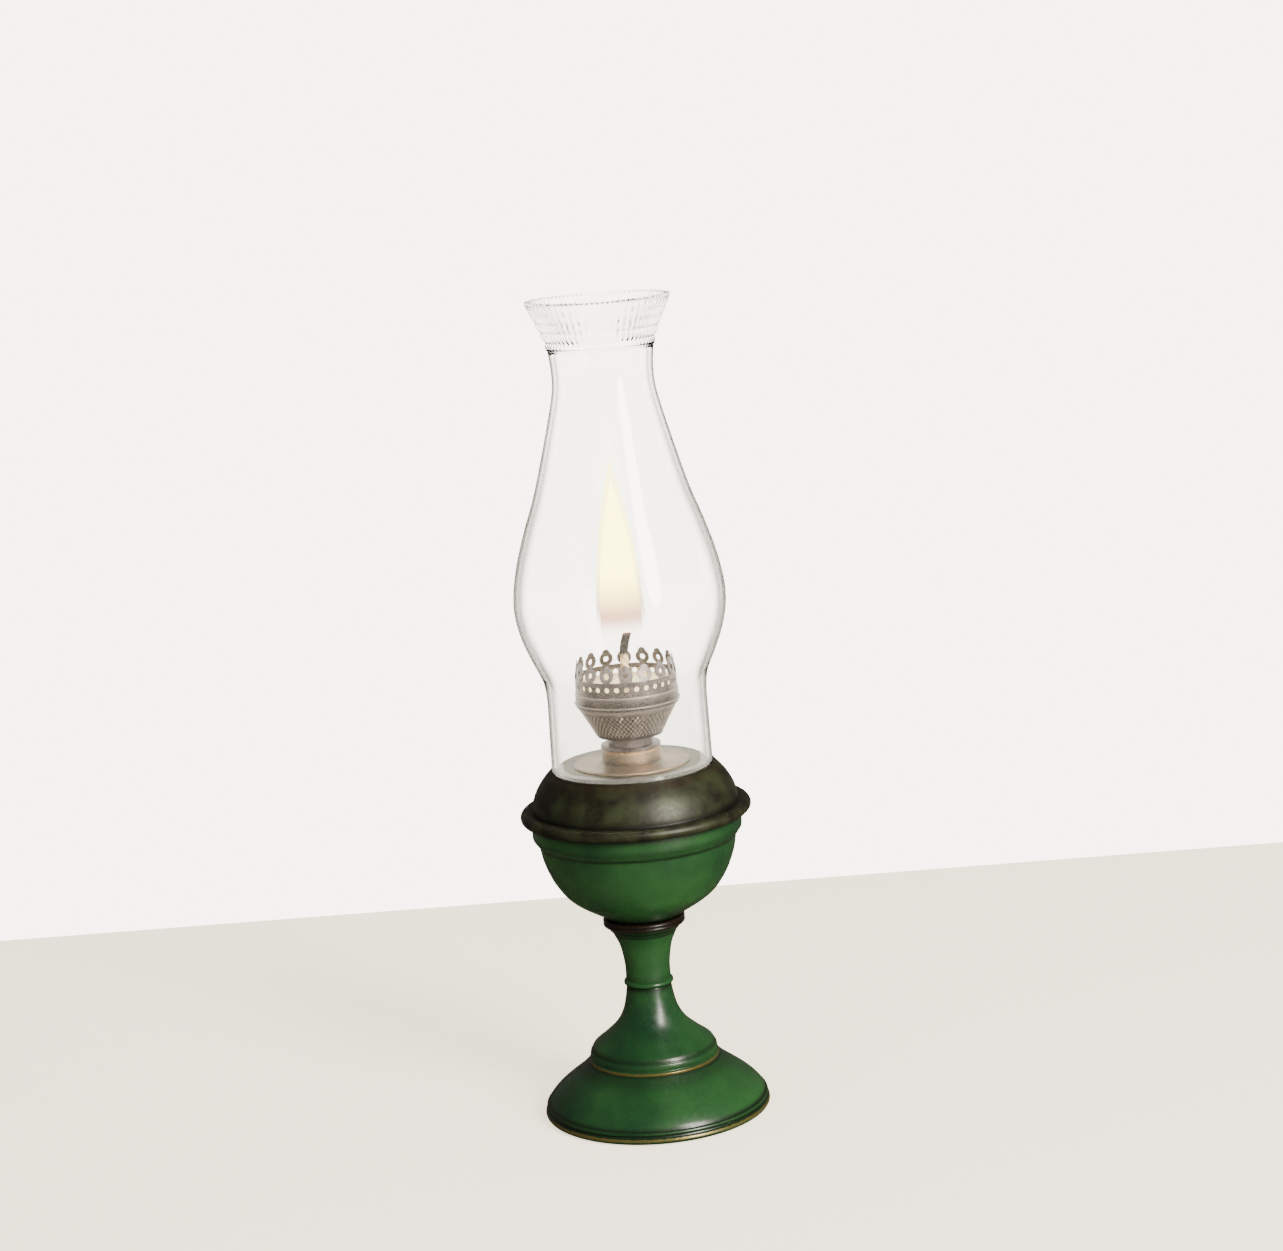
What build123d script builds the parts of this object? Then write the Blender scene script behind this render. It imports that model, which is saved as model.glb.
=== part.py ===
"""Oil lamp: spun pedestal and bowl, drop-in oil font, lift-out burner, wick and glass chimney.

Millimetres, +Z up. The lamp's axis is Z and the felt under its foot rests on Z = 0.
Outlines are drawn on Plane.XZ, where X is the radius from the axis and Y is the height.
"""
from build123d import *
import os
from math import sqrt

# ---- stock thicknesses and fits -------------------------------------------------------------
sheet = 1.2  # spun metal of the pedestal, the bowl and the lid
tinplate = 0.8  # soldered sheet of the oil tank
burner_sheet = 0.6  # pressed sheet of the burner
glass_wall = 2.0
running_fit = 0.05  # radial play of a plug in its bore
bolt_play = 0.15  # radial play of a hole round the tie rod
edge_bevel = 0.7  # broken edge of a turned ring
drop_in_gap = 0.5  # radial play of what is simply set in place
wick_play = 0.4  # radial play of the soft wick in its tube

# ---- foot ---------------------------------------------------------------------------------
foot_radius = 54.3
foot_rise = 25.9  # table to the flat land under the bell
land_radius = 31.6
rim_bead_radius = 1.6  # rolled edge of the foot
rim_lift = 0.5  # the rolled edge hangs this far above the table
felt_thickness = 1.5
felt_margin = 1.2  # bare ring between the felt and the rolled edge
ballast_rim_height = 7.0
ballast_cone_rise = 4.0
ballast_gap = 4.0  # between the ballast and the rolled edge
ballast_top_inset = 6.0
boss_radius = 14.0

# ---- stem ---------------------------------------------------------------------------------
bell_height = 36.4
bell_lip_radius = 31.4
bell_lip_height = 1.0
bell_band_radius = 30.4
bell_band_height = 4.1
bell_groove = 0.7  # step from the band in to the bell
neck_radius = 10.8
neck_land = 1.0
lining_lap = 0.2  # the bell's lining ends this far above the underside of its top plate
ring_height = 3.0
ring_radius = 11.9
trumpet_height = 27.1
trumpet_top_radius = 18.0
bowl_collar_radius = 19.6
bowl_collar_height = 4.0
collar_spigot_height = 2.5

# ---- tie rod and its fasteners ----------------------------------------------------------------
rod_radius = 3.0
rod_end = 1.0  # thread showing past each nut
nut_flats = 10.0
nut_height = 5.0
washer_radius = 7.0
washer_thickness = 1.2
socket_play = 1.0  # round the washer in the ballast's socket
felt_air = 1.0  # rod end to felt

# ---- bowl -----------------------------------------------------------------------------------
bowl_floor_radius = 17.0
bowl_turn_radius = 30.2  # where the cone of the floor runs into the belly
bowl_turn_height = 8.1
belly_radius = 46.9
belly_height = 37.8
bowl_rim_radius = 49.9
bowl_step_height = 4.0
bowl_height = 49.4

# ---- font: lid, tank and collar ----------------------------------------------------------------
tank_gap = 1.5  # tank to bowl, all round
tank_floor_air = 2.0
flange_overhang = 4.9  # flange past the bowl's rim
flange_bead = 2.7  # radius of the wired edge
lid_rise = 23.4  # bowl rim to the floor of the glass seat
lid_shoulder_inset = 1.0  # shoulder inside the bowl's rim
seat_depth = 1.0
seat_lip = 0.9  # width of the lip outside the glass
plateau_step = 2.2  # seat floor up to the lid's flat top
tank_overlap = 3.0  # tank standing up inside the lid's flange
font_flange_radius = 27.4
font_flange_thickness = 1.0
font_neck_radius = 14.0
font_neck_rise = 6.0
font_neck_drop = 3.0
font_bore = 11.2

# ---- burner -----------------------------------------------------------------------------------
gasket_thickness = 0.8
gasket_inset = 0.3
plug_depth = 9.0
plug_flange_radius = 14.2
plug_flange_thickness = 1.6
plug_neck_radius = 10.5
plug_neck_height = 4.6
plug_spigot_radius = 8.0
plug_spigot_height = 1.6
basket_floor_radius = 15.6
basket_belly_radius = 18.9
basket_belly_height = 6.3
basket_top_radius = 23.8
basket_cone_height = 15.0
basket_lip_height = 1.2
basket_rows = 3
basket_row_holes = 24
basket_hole_radius = 0.9
basket_first_row = 3.6
basket_row_step = 3.2
ledge_radius = 22.0
ledge_thickness = 0.8
gallery_radius = 25.0
gallery_drop = 1.2
gallery_rise = 5.0
gallery_bead_radius = 0.9
crown_radius = 24.0
crown_band_height = 12.4
crown_tip_radius = 22.6
prong_count = 16
prong_disc_radius = 3.4
prong_disc_height = 3.1  # disc centre above the band's top
prong_hole_radius = 1.35
prong_lobe_radius = 1.9
prong_lobe_height = 5.8
band_hole_radius = 1.2
band_hole_drop = 3.4
diffuser_thickness = 0.8
diffuser_hole_radius = 2.0
diffuser_hole_count = 12
diffuser_hole_circle = 14.0
wick_tube_radius = 3.0
wick_tube_wall = 0.6
wick_tube_drop = 54.0  # tube below the plug's flange, down in to the oil
wick_tube_rise = 14.6  # tube above the crown's foot

# ---- wick -----------------------------------------------------------------------------------
wick_tail_air = 8.0  # above the floor of the tank
wick_show = 6.0  # straight wick above its tube
wick_bend_height = 9.5
wick_lean = 2.2

# ---- chimney --------------------------------------------------------------------------------
fitter_radius = 38.1  # three-inch chimney
fitter_play = 0.4
waist_radius = 37.6
waist_height = 33.8
bulge_radius = 49.8
bulge_height = 81.4
chimney_neck_radius = 23.6
chimney_neck_drop = 14.4  # narrowest glass below the throat
chimney_height = 221.9
mouth_radius = 33.6
mouth_bead = 1.1
throat_drop = 22.7  # throat below the mouth
throat_radius = 24.6
throat_bead = 0.9

# ---- levels that follow from the sizes above ------------------------------------------------------
bell_top = foot_rise + bell_height
ring_top = bell_top + ring_height
trumpet_top = ring_top + trumpet_height
bowl_base = trumpet_top + bowl_collar_height
belly_level = bowl_base + belly_height
bowl_rim = bowl_base + bowl_height
seat_floor = bowl_rim + lid_rise
plateau = seat_floor + plateau_step
font_neck_top = plateau + font_flange_thickness + font_neck_rise
plug_flange_base = font_neck_top + gasket_thickness
plug_neck_base = plug_flange_base + plug_flange_thickness
basket_base = plug_neck_base + plug_neck_height
basket_cone_top = basket_base + basket_cone_height
ledge_base = basket_cone_top + basket_lip_height
crown_base = ledge_base + ledge_thickness
crown_band_top = crown_base + crown_band_height
wick_tube_top = crown_base + wick_tube_rise
rod_hole = rod_radius + bolt_play
socket_ceiling = felt_thickness + felt_air + rod_end + nut_height + washer_thickness
top_nut_base = bowl_base + sheet + washer_thickness
rod_bottom = felt_thickness + felt_air
rod_top = top_nut_base + nut_height + rod_end


def between(start, end, shares):
    """Points of an outline between two corners, by their share of the way out and of the way up."""
    width = end[0] - start[0]
    rise = end[1] - start[1]
    return [(start[0] + width * out, start[1] + rise * up) for out, up in shares]


def shifted(points, out, up):
    """The same outline points moved out from the axis and up."""
    return [(radius + out, height + up) for radius, height in points]


def save(part, label):
    """Name a finished piece and write it to its own file."""
    part.label = label
    export_step(part, f"parts/{label}.step")


os.makedirs("parts", exist_ok=True)

# ---- foot: felt, cast ballast and spun skirt --------------------------------------------------------
felt_radius = foot_radius - 2 * rim_bead_radius - felt_margin
with BuildPart() as base_felt:
    with BuildSketch():
        Circle(felt_radius)
    extrude(amount=felt_thickness)
save(base_felt.part, "base_felt")

ballast_radius = foot_radius - 2 * rim_bead_radius - ballast_gap
ballast_shelf = felt_thickness + ballast_rim_height
with BuildPart() as ballast:
    with BuildSketch(Plane.XZ):
        with BuildLine():
            Polyline(
                (rod_hole, felt_thickness),
                (ballast_radius, felt_thickness),
                (ballast_radius, ballast_shelf),
                (ballast_radius - ballast_top_inset, ballast_shelf + ballast_cone_rise),
                (boss_radius, ballast_shelf + ballast_cone_rise),
                (boss_radius, foot_rise - sheet),
                (rod_hole, foot_rise - sheet),
                close=True,
            )
        make_face()
    revolve(axis=Axis.Z)
    with BuildSketch(Plane.XY.offset(felt_thickness)):
        Circle(washer_radius + socket_play)
    extrude(amount=socket_ceiling - felt_thickness, mode=Mode.SUBTRACT)
save(ballast.part, "ballast")

skirt_corner = (land_radius, foot_rise)
skirt_rim = (foot_radius - sheet / 2, rim_lift + 2 * rim_bead_radius)
skirt_ogee = [
    skirt_corner,
    *between(skirt_corner, skirt_rim, [(0.22, 0.21), (0.49, 0.42), (0.76, 0.64), (0.93, 0.82)]),
    skirt_rim,
]
sheet_lean = sheet / sqrt(2)
skirt_lining = shifted(skirt_ogee, -sheet_lean, -sheet_lean)
with BuildPart() as foot_skirt:
    with BuildSketch(Plane.XZ):
        with BuildLine():
            Spline(*skirt_ogee)
            Line(skirt_rim, skirt_lining[-1])
            Spline(*reversed(skirt_lining))
            Polyline(
                skirt_lining[0],
                (land_radius - sheet_lean, foot_rise - sheet),
                (rod_hole, foot_rise - sheet),
                (rod_hole, foot_rise),
                skirt_corner,
            )
        make_face()
    revolve(axis=Axis.Z)
    with BuildSketch(Plane.XZ):
        with Locations((foot_radius - rim_bead_radius, rim_lift + rim_bead_radius)):
            Circle(rim_bead_radius)
    revolve(axis=Axis.Z)
save(foot_skirt.part, "foot_skirt")

# ---- stem: bell, ring, trumpet and the collar under the bowl ------------------------------------------
band_base = foot_rise + bell_lip_height
band_top = band_base + bell_band_height
bell_foot = (bell_band_radius - bell_groove, band_top)
bell_neck = (neck_radius, bell_top - neck_land)
bell_inner_foot = (bell_foot[0] - sheet, band_top - sheet / 2)
bell_inner_neck = (neck_radius - sheet, bell_top - sheet + lining_lap)
bell_curve = [(0.12, 0.1), (0.32, 0.2), (0.51, 0.3), (0.78, 0.5), (0.95, 0.8)]
with BuildPart() as bell:
    with BuildSketch(Plane.XZ):
        with BuildLine():
            Polyline(
                (bell_lip_radius, foot_rise),
                (bell_lip_radius, band_base),
                (bell_band_radius, band_base + bell_groove),
                (bell_band_radius, band_top),
                bell_foot,
            )
            Spline(bell_foot, *between(bell_foot, bell_neck, bell_curve), bell_neck)
            Polyline(
                bell_neck,
                (neck_radius, bell_top),
                (rod_hole, bell_top),
                (rod_hole, bell_top - sheet),
                (neck_radius - sheet, bell_top - sheet),
                bell_inner_neck,
            )
            Spline(
                bell_inner_foot,
                *between(bell_inner_foot, bell_inner_neck, bell_curve),
                bell_inner_neck,
            )
            Polyline(bell_inner_foot, (bell_inner_foot[0], foot_rise), (bell_lip_radius, foot_rise))
        make_face()
    revolve(axis=Axis.Z)
save(bell.part, "bell")

with BuildPart() as stem_ring:
    with BuildSketch(Plane.XY.offset(bell_top)):
        Circle(ring_radius)
        Circle(rod_hole, mode=Mode.SUBTRACT)
    extrude(amount=ring_height)
    ring_edges = stem_ring.edges().filter_by(GeomType.CIRCLE).sort_by(SortBy.RADIUS)[-2:]
    fillet(ring_edges, ring_radius - neck_radius)
save(stem_ring.part, "stem_ring")

trumpet_foot = (neck_radius, ring_top)
trumpet_lip = (trumpet_top_radius, trumpet_top)
trumpet_inner_foot = (neck_radius - sheet, ring_top + sheet)
trumpet_inner_lip = (trumpet_top_radius - sheet, trumpet_top)
trumpet_curve = [(0.0, 0.22), (0.09, 0.45), (0.33, 0.71), (0.74, 0.92)]
with BuildPart() as trumpet:
    with BuildSketch(Plane.XZ):
        with BuildLine():
            Polyline((rod_hole, ring_top + sheet), (rod_hole, ring_top), trumpet_foot)
            Spline(trumpet_foot, *between(trumpet_foot, trumpet_lip, trumpet_curve), trumpet_lip)
            Line(trumpet_lip, trumpet_inner_lip)
            Spline(
                trumpet_inner_lip,
                *reversed(between(trumpet_inner_foot, trumpet_inner_lip, trumpet_curve)),
                trumpet_inner_foot,
            )
            Line(trumpet_inner_foot, (rod_hole, ring_top + sheet))
        make_face()
    revolve(axis=Axis.Z)
save(trumpet.part, "trumpet")

with BuildPart() as bowl_collar:
    with BuildSketch(Plane.XY.offset(trumpet_top)):
        Circle(bowl_collar_radius)
        Circle(rod_hole, mode=Mode.SUBTRACT)
    extrude(amount=bowl_collar_height)
    chamfer(bowl_collar.edges().filter_by(GeomType.CIRCLE).sort_by(SortBy.RADIUS)[-2:], edge_bevel)
    with BuildSketch(Plane.XY.offset(trumpet_top - collar_spigot_height)):
        Circle(boss_radius - 2 * sheet)
        Circle(rod_hole, mode=Mode.SUBTRACT)
    extrude(amount=collar_spigot_height)
save(bowl_collar.part, "bowl_collar")

# ---- bowl -----------------------------------------------------------------------------------
bowl_turn = (bowl_turn_radius, bowl_base + bowl_turn_height)
belly_point = (belly_radius, belly_level)
with BuildPart() as bowl:
    with BuildSketch(Plane.XZ):
        with BuildLine():
            Polyline((rod_hole, bowl_base), (bowl_floor_radius, bowl_base), bowl_turn)
            TangentArc(belly_point, bowl_turn, tangent=(0, -1))
            Polyline(
                belly_point,
                (bowl_rim_radius, belly_level + bowl_step_height),
                (bowl_rim_radius, bowl_rim),
            )
            offset(amount=sheet, side=Side.LEFT)
        make_face()
    revolve(axis=Axis.Z)
save(bowl.part, "bowl")

# ---- tie rod with a washer and a nut at each end --------------------------------------------------------
with BuildPart() as tie_rod:
    with BuildSketch(Plane.XY.offset(rod_bottom)):
        Circle(rod_radius)
    extrude(amount=rod_top - rod_bottom)
save(tie_rod.part, "tie_rod")

with BuildPart() as tie_washers:
    for washer_level in (socket_ceiling - washer_thickness, bowl_base + sheet):
        with BuildSketch(Plane.XY.offset(washer_level)):
            Circle(washer_radius)
            Circle(rod_hole, mode=Mode.SUBTRACT)
        extrude(amount=washer_thickness)
save(tie_washers.part, "tie_washers")

with BuildPart() as tie_nuts:
    for nut_level in (rod_bottom + rod_end, top_nut_base):
        with BuildSketch(Plane.XY.offset(nut_level)):
            RegularPolygon(radius=nut_flats / 2, side_count=6, major_radius=False)
            Circle(rod_radius + running_fit, mode=Mode.SUBTRACT)
        extrude(amount=nut_height)
save(tie_nuts.part, "tie_nuts")

# ---- font: lid, oil tank and threaded collar ----------------------------------------------------------
tank_radius = bowl_rim_radius - sheet - drop_in_gap
seat_outer = fitter_radius + fitter_play
seat_inner = fitter_radius - glass_wall - drop_in_gap
lid_bore = font_neck_radius + running_fit
flange_centre = (bowl_rim_radius + flange_overhang - flange_bead, bowl_rim + flange_bead)
lid_foot = (bowl_rim_radius - lid_shoulder_inset, bowl_rim + 2 * flange_bead)
lid_crest = (seat_outer + seat_lip, seat_floor + seat_depth - edge_bevel)
lid_inner_foot = (tank_radius + running_fit, bowl_rim + tank_overlap)
lid_inner_crest = (seat_outer - sheet / 2, seat_floor - sheet)
lid_curve = [(0.05, 0.15), (0.19, 0.38), (0.38, 0.6), (0.7, 0.84)]
with BuildPart() as font_lid:
    with BuildSketch(Plane.XZ):
        with BuildLine():
            Polyline(
                (tank_radius + running_fit, bowl_rim),
                (flange_centre[0], bowl_rim),
                (flange_centre[0], bowl_rim + 2 * flange_bead),
                lid_foot,
            )
            Spline(lid_foot, *between(lid_foot, lid_crest, lid_curve), lid_crest)
            Polyline(
                lid_crest,
                (seat_outer, seat_floor + seat_depth),
                (seat_outer, seat_floor),
                (seat_inner, seat_floor),
                (seat_inner, plateau),
                (lid_bore, plateau),
                (lid_bore, plateau - sheet),
                (seat_inner - sheet, plateau - sheet),
                (seat_inner - sheet, seat_floor - sheet),
                lid_inner_crest,
            )
            Spline(
                lid_inner_crest,
                *reversed(between(lid_inner_foot, lid_inner_crest, lid_curve)),
                lid_inner_foot,
            )
            Line(lid_inner_foot, (tank_radius + running_fit, bowl_rim))
        make_face()
    revolve(axis=Axis.Z)
    with BuildSketch(Plane.XZ):
        with Locations(flange_centre):
            Circle(flange_bead)
    revolve(axis=Axis.Z)
save(font_lid.part, "font_lid")

# the tank's side is an arc struck from the centre of the bowl's belly, one gap and one sheet smaller
belly_drop = belly_height - bowl_turn_height
belly_run = belly_radius - bowl_turn_radius
belly_arc = (belly_drop**2 + belly_run**2) / (2 * belly_run)
belly_centre = belly_radius - belly_arc
tank_arc = belly_arc - sheet - tank_gap
tank_floor = rod_top + tank_floor_air
tank_floor_radius = belly_centre + sqrt(tank_arc**2 - (belly_level - tank_floor) ** 2)
tank_side = belly_radius - sheet - tank_gap
tank_shoulder = belly_level + bowl_step_height + tank_gap
tank_top = bowl_rim + tank_overlap
inner_arc = tank_arc - tinplate
inner_floor = tank_floor + tinplate
inner_floor_radius = belly_centre + sqrt(inner_arc**2 - (belly_level - inner_floor) ** 2)
with BuildPart() as font_tank:
    with BuildSketch(Plane.XZ):
        with BuildLine():
            Line((0, tank_floor), (tank_floor_radius, tank_floor))
            TangentArc((tank_side, belly_level), (tank_floor_radius, tank_floor), tangent=(0, -1))
            Polyline(
                (tank_side, belly_level),
                (tank_radius, tank_shoulder),
                (tank_radius, tank_top),
                (tank_radius - tinplate, tank_top),
                (tank_radius - tinplate, tank_shoulder),
                (tank_side - tinplate, belly_level),
            )
            TangentArc(
                (tank_side - tinplate, belly_level), (inner_floor_radius, inner_floor), tangent=(0, -1)
            )
            Polyline((inner_floor_radius, inner_floor), (0, inner_floor), (0, tank_floor))
        make_face()
    revolve(axis=Axis.Z)
save(font_tank.part, "font_tank")

with BuildPart() as font_collar:
    with BuildSketch(Plane.XZ):
        with BuildLine():
            Polyline(
                (font_bore, plateau - font_neck_drop),
                (font_neck_radius, plateau - font_neck_drop),
                (font_neck_radius, plateau),
                (font_flange_radius, plateau),
                (font_flange_radius, plateau + font_flange_thickness),
                (font_neck_radius, plateau + font_flange_thickness),
                (font_neck_radius, font_neck_top),
                (font_bore, font_neck_top),
                close=True,
            )
        make_face()
    revolve(axis=Axis.Z)
save(font_collar.part, "font_collar")

# ---- burner: gasket, plug, basket, gallery, crown, diffuser and wick tube --------------------------------
plug_radius = font_bore - running_fit
with BuildPart() as burner_gasket:
    with BuildSketch(Plane.XY.offset(font_neck_top)):
        Circle(font_neck_radius - gasket_inset)
        Circle(font_bore, mode=Mode.SUBTRACT)
    extrude(amount=gasket_thickness)
save(burner_gasket.part, "burner_gasket")

with BuildPart() as burner_plug:
    with BuildSketch(Plane.XZ):
        with BuildLine():
            Polyline(
                (wick_tube_radius + running_fit, font_neck_top - plug_depth),
                (plug_radius, font_neck_top - plug_depth),
                (plug_radius, plug_flange_base),
                (plug_flange_radius, plug_flange_base),
                (plug_flange_radius, plug_neck_base),
                (plug_neck_radius, plug_neck_base),
                (plug_neck_radius, basket_base),
                (plug_spigot_radius, basket_base),
                (plug_spigot_radius, basket_base + plug_spigot_height),
                (wick_tube_radius + running_fit, basket_base + plug_spigot_height),
                close=True,
            )
        make_face()
    revolve(axis=Axis.Z)
save(burner_plug.part, "burner_plug")

basket_foot = (basket_floor_radius, basket_base)
basket_belly = (basket_belly_radius, basket_base + basket_belly_height)
basket_shoulder = (basket_top_radius, basket_cone_top)
# the cone has already opened this much where it leaves the floor's upper face
floor_flare = (basket_belly_radius - basket_floor_radius) * burner_sheet / basket_belly_height
with BuildPart() as air_basket:
    with BuildSketch(Plane.XZ):
        with BuildLine():
            Polyline(
                (plug_spigot_radius + running_fit, basket_base),
                basket_foot,
                basket_belly,
                basket_shoulder,
                (basket_top_radius, ledge_base),
                (basket_top_radius - burner_sheet, ledge_base),
                (basket_top_radius - burner_sheet, basket_cone_top),
                (basket_belly_radius - burner_sheet, basket_base + basket_belly_height),
                (basket_floor_radius + floor_flare - burner_sheet, basket_base + burner_sheet),
                (plug_spigot_radius + running_fit, basket_base + burner_sheet),
                close=True,
            )
        make_face()
    revolve(axis=Axis.Z)
    for row in range(basket_rows):
        hole_level = basket_base + basket_first_row + row * basket_row_step
        row_turn = (row % 2) * 180 / basket_row_holes
        with BuildSketch(Plane.YZ.offset(basket_floor_radius / 2)) as row_hole:
            with Locations((0, hole_level)):
                Circle(basket_hole_radius)
        row_drill = extrude(row_hole.sketch, amount=basket_top_radius, mode=Mode.PRIVATE)
        with PolarLocations(0, basket_row_holes, start_angle=row_turn):
            add(row_drill, mode=Mode.SUBTRACT)
save(air_basket.part, "air_basket")

gallery_bore = crown_radius + running_fit
bead_level = ledge_base + gallery_bead_radius - burner_sheet / 2
with BuildPart() as gallery_band:
    with BuildSketch(Plane.XZ):
        with BuildLine():
            Polyline(
                (basket_top_radius + running_fit, ledge_base - gallery_drop),
                (basket_top_radius + running_fit, ledge_base),
                (ledge_radius, ledge_base),
                (ledge_radius, crown_base),
                (gallery_bore, crown_base),
                (gallery_bore, crown_base + gallery_rise),
                (gallery_bore + burner_sheet / 2, crown_base + gallery_rise),
            )
            ThreePointArc(
                (gallery_bore + burner_sheet / 2, crown_base + gallery_rise),
                (gallery_radius - burner_sheet / 3, crown_base + gallery_rise / 2),
                (gallery_bore + burner_sheet / 2, ledge_base - gallery_drop),
            )
            Line(
                (gallery_bore + burner_sheet / 2, ledge_base - gallery_drop),
                (basket_top_radius + running_fit, ledge_base - gallery_drop),
            )
        make_face()
    revolve(axis=Axis.Z)
    with BuildSketch(Plane.XZ):
        with Locations((gallery_radius - gallery_bead_radius / 2, bead_level)):
            Circle(gallery_bead_radius / 2)
    revolve(axis=Axis.Z)
save(gallery_band.part, "gallery_band")

# the crown is a short tube whose pierced prongs lean in towards their tips
prong_top = crown_band_top + prong_lobe_height + prong_lobe_radius
crown_inner = crown_radius - burner_sheet
tip_inner = crown_tip_radius - burner_sheet
with BuildPart() as prong_form:
    with BuildSketch(Plane.XY.offset(crown_base)):
        Circle(gallery_radius)
    extrude(amount=crown_band_height)
    with BuildSketch(Plane.YZ) as prong_face:
        with Locations((0, crown_band_top)):
            Rectangle(prong_disc_radius, prong_disc_height, align=(Align.CENTER, Align.MIN))
        with Locations((0, crown_band_top + prong_disc_height)):
            Circle(prong_disc_radius)
        with Locations((0, crown_band_top + prong_lobe_height)):
            Circle(prong_lobe_radius)
        with Locations((0, crown_band_top)):
            Rectangle(4 * prong_disc_radius, prong_top, align=(Align.CENTER, Align.MIN), mode=Mode.INTERSECT)
    prong = extrude(prong_face.sketch, amount=gallery_radius, mode=Mode.PRIVATE)
    with PolarLocations(0, prong_count):
        add(prong)

with BuildPart() as crown:
    with BuildSketch(Plane.XZ):
        with BuildLine():
            Polyline(
                (crown_inner, crown_base),
                (crown_radius, crown_base),
                (crown_radius, crown_band_top),
                (crown_tip_radius, prong_top),
                (tip_inner, prong_top),
                (crown_inner, crown_band_top),
                close=True,
            )
        make_face()
    revolve(axis=Axis.Z)
    add(prong_form.part, mode=Mode.INTERSECT)
    with BuildSketch(Plane.YZ) as prong_eye:
        with Locations((0, crown_band_top + prong_disc_height)):
            Circle(prong_hole_radius)
    eye_drill = extrude(prong_eye.sketch, amount=gallery_radius, mode=Mode.PRIVATE)
    with PolarLocations(0, prong_count):
        add(eye_drill, mode=Mode.SUBTRACT)
    with BuildSketch(Plane.YZ) as band_eye:
        with Locations((0, crown_band_top - band_hole_drop)):
            Circle(band_hole_radius)
    band_drill = extrude(band_eye.sketch, amount=gallery_radius, mode=Mode.PRIVATE)
    with PolarLocations(0, 2 * prong_count):
        add(band_drill, mode=Mode.SUBTRACT)
save(crown.part, "crown")

with BuildPart() as diffuser_plate:
    with BuildSketch(Plane.XY.offset(crown_base)):
        Circle(crown_inner - running_fit)
        Circle(wick_tube_radius + running_fit, mode=Mode.SUBTRACT)
        with PolarLocations(diffuser_hole_circle, diffuser_hole_count):
            Circle(diffuser_hole_radius, mode=Mode.SUBTRACT)
    extrude(amount=diffuser_thickness)
save(diffuser_plate.part, "diffuser_plate")

wick_tube_base = plug_flange_base - wick_tube_drop
with BuildPart() as wick_tube:
    with BuildSketch(Plane.XY.offset(wick_tube_base)):
        Circle(wick_tube_radius)
        Circle(wick_tube_radius - wick_tube_wall, mode=Mode.SUBTRACT)
    extrude(amount=wick_tube_top - wick_tube_base)
save(wick_tube.part, "wick_tube")

# ---- wick: straight through its tube, then bent over by the flame ----------------------------------------
wick_radius = wick_tube_radius - wick_tube_wall - wick_play
wick_tail = inner_floor + wick_tail_air
wick_bend = wick_tube_top + wick_show
with BuildPart() as wick:
    with BuildLine():
        wick_stalk = Line((0, 0, wick_tail), (0, 0, wick_bend))
        TangentArc(wick_stalk @ 1, (wick_lean, 0, wick_bend + wick_bend_height), tangent=wick_stalk % 1)
    with BuildSketch(Plane.XY.offset(wick_tail)):
        Circle(wick_radius)
    sweep()
save(wick.part, "wick")

# ---- chimney ----------------------------------------------------------------------------------
glass_foot = (fitter_radius, seat_floor)
glass_waist = (waist_radius, seat_floor + waist_height)
glass_bulge = (bulge_radius, seat_floor + bulge_height)
throat_level = seat_floor + chimney_height - throat_drop
glass_neck = (chimney_neck_radius, throat_level - chimney_neck_drop)
glass_throat = (throat_radius, throat_level)
glass_mouth = (mouth_radius, seat_floor + chimney_height - mouth_bead)
glass_body = [
    glass_waist,
    *between(glass_waist, glass_bulge, [(0.08, 0.21), (0.5, 0.46), (0.86, 0.72)]),
    glass_bulge,
    *between(glass_bulge, glass_neck, [(0.09, 0.16), (0.29, 0.33), (0.54, 0.51), (0.91, 0.86)]),
    glass_neck,
    glass_throat,
]
glass_flare = [glass_throat, *between(glass_throat, glass_mouth, [(0.22, 0.32), (0.55, 0.62)]), glass_mouth]
with BuildPart() as chimney:
    with BuildSketch(Plane.XZ):
        with BuildLine():
            Line(glass_foot, glass_waist)
            Spline(*glass_body)
            Spline(*glass_flare)
            Line(glass_mouth, (mouth_radius - glass_wall, glass_mouth[1]))
            Spline(*reversed(shifted(glass_flare, -glass_wall, 0)))
            Spline(*reversed(shifted(glass_body, -glass_wall, 0)))
            Polyline(
                (waist_radius - glass_wall, glass_waist[1]),
                (fitter_radius - glass_wall, seat_floor),
                glass_foot,
            )
        make_face()
    revolve(axis=Axis.Z)
    with BuildSketch(Plane.XZ):
        with Locations((mouth_radius - glass_wall / 2, glass_mouth[1])):
            Circle(mouth_bead)
        with Locations((throat_radius - throat_bead / 2, throat_level)):
            Circle(throat_bead)
    revolve(axis=Axis.Z)
save(chimney.part, "chimney")
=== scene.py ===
"""Visual model of a table oil lamp: spun pedestal, drop-in font, burner, wick, flame and glass.

Sizes in the classes are millimetres; Blender works in metres. Outlines are (radius, height) points,
with the height counted from the base of the piece that the frame gives.
"""
import logging
import math
from dataclasses import dataclass
from enum import Enum

import bpy
import numpy as np
from mathutils import Matrix, Vector


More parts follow.
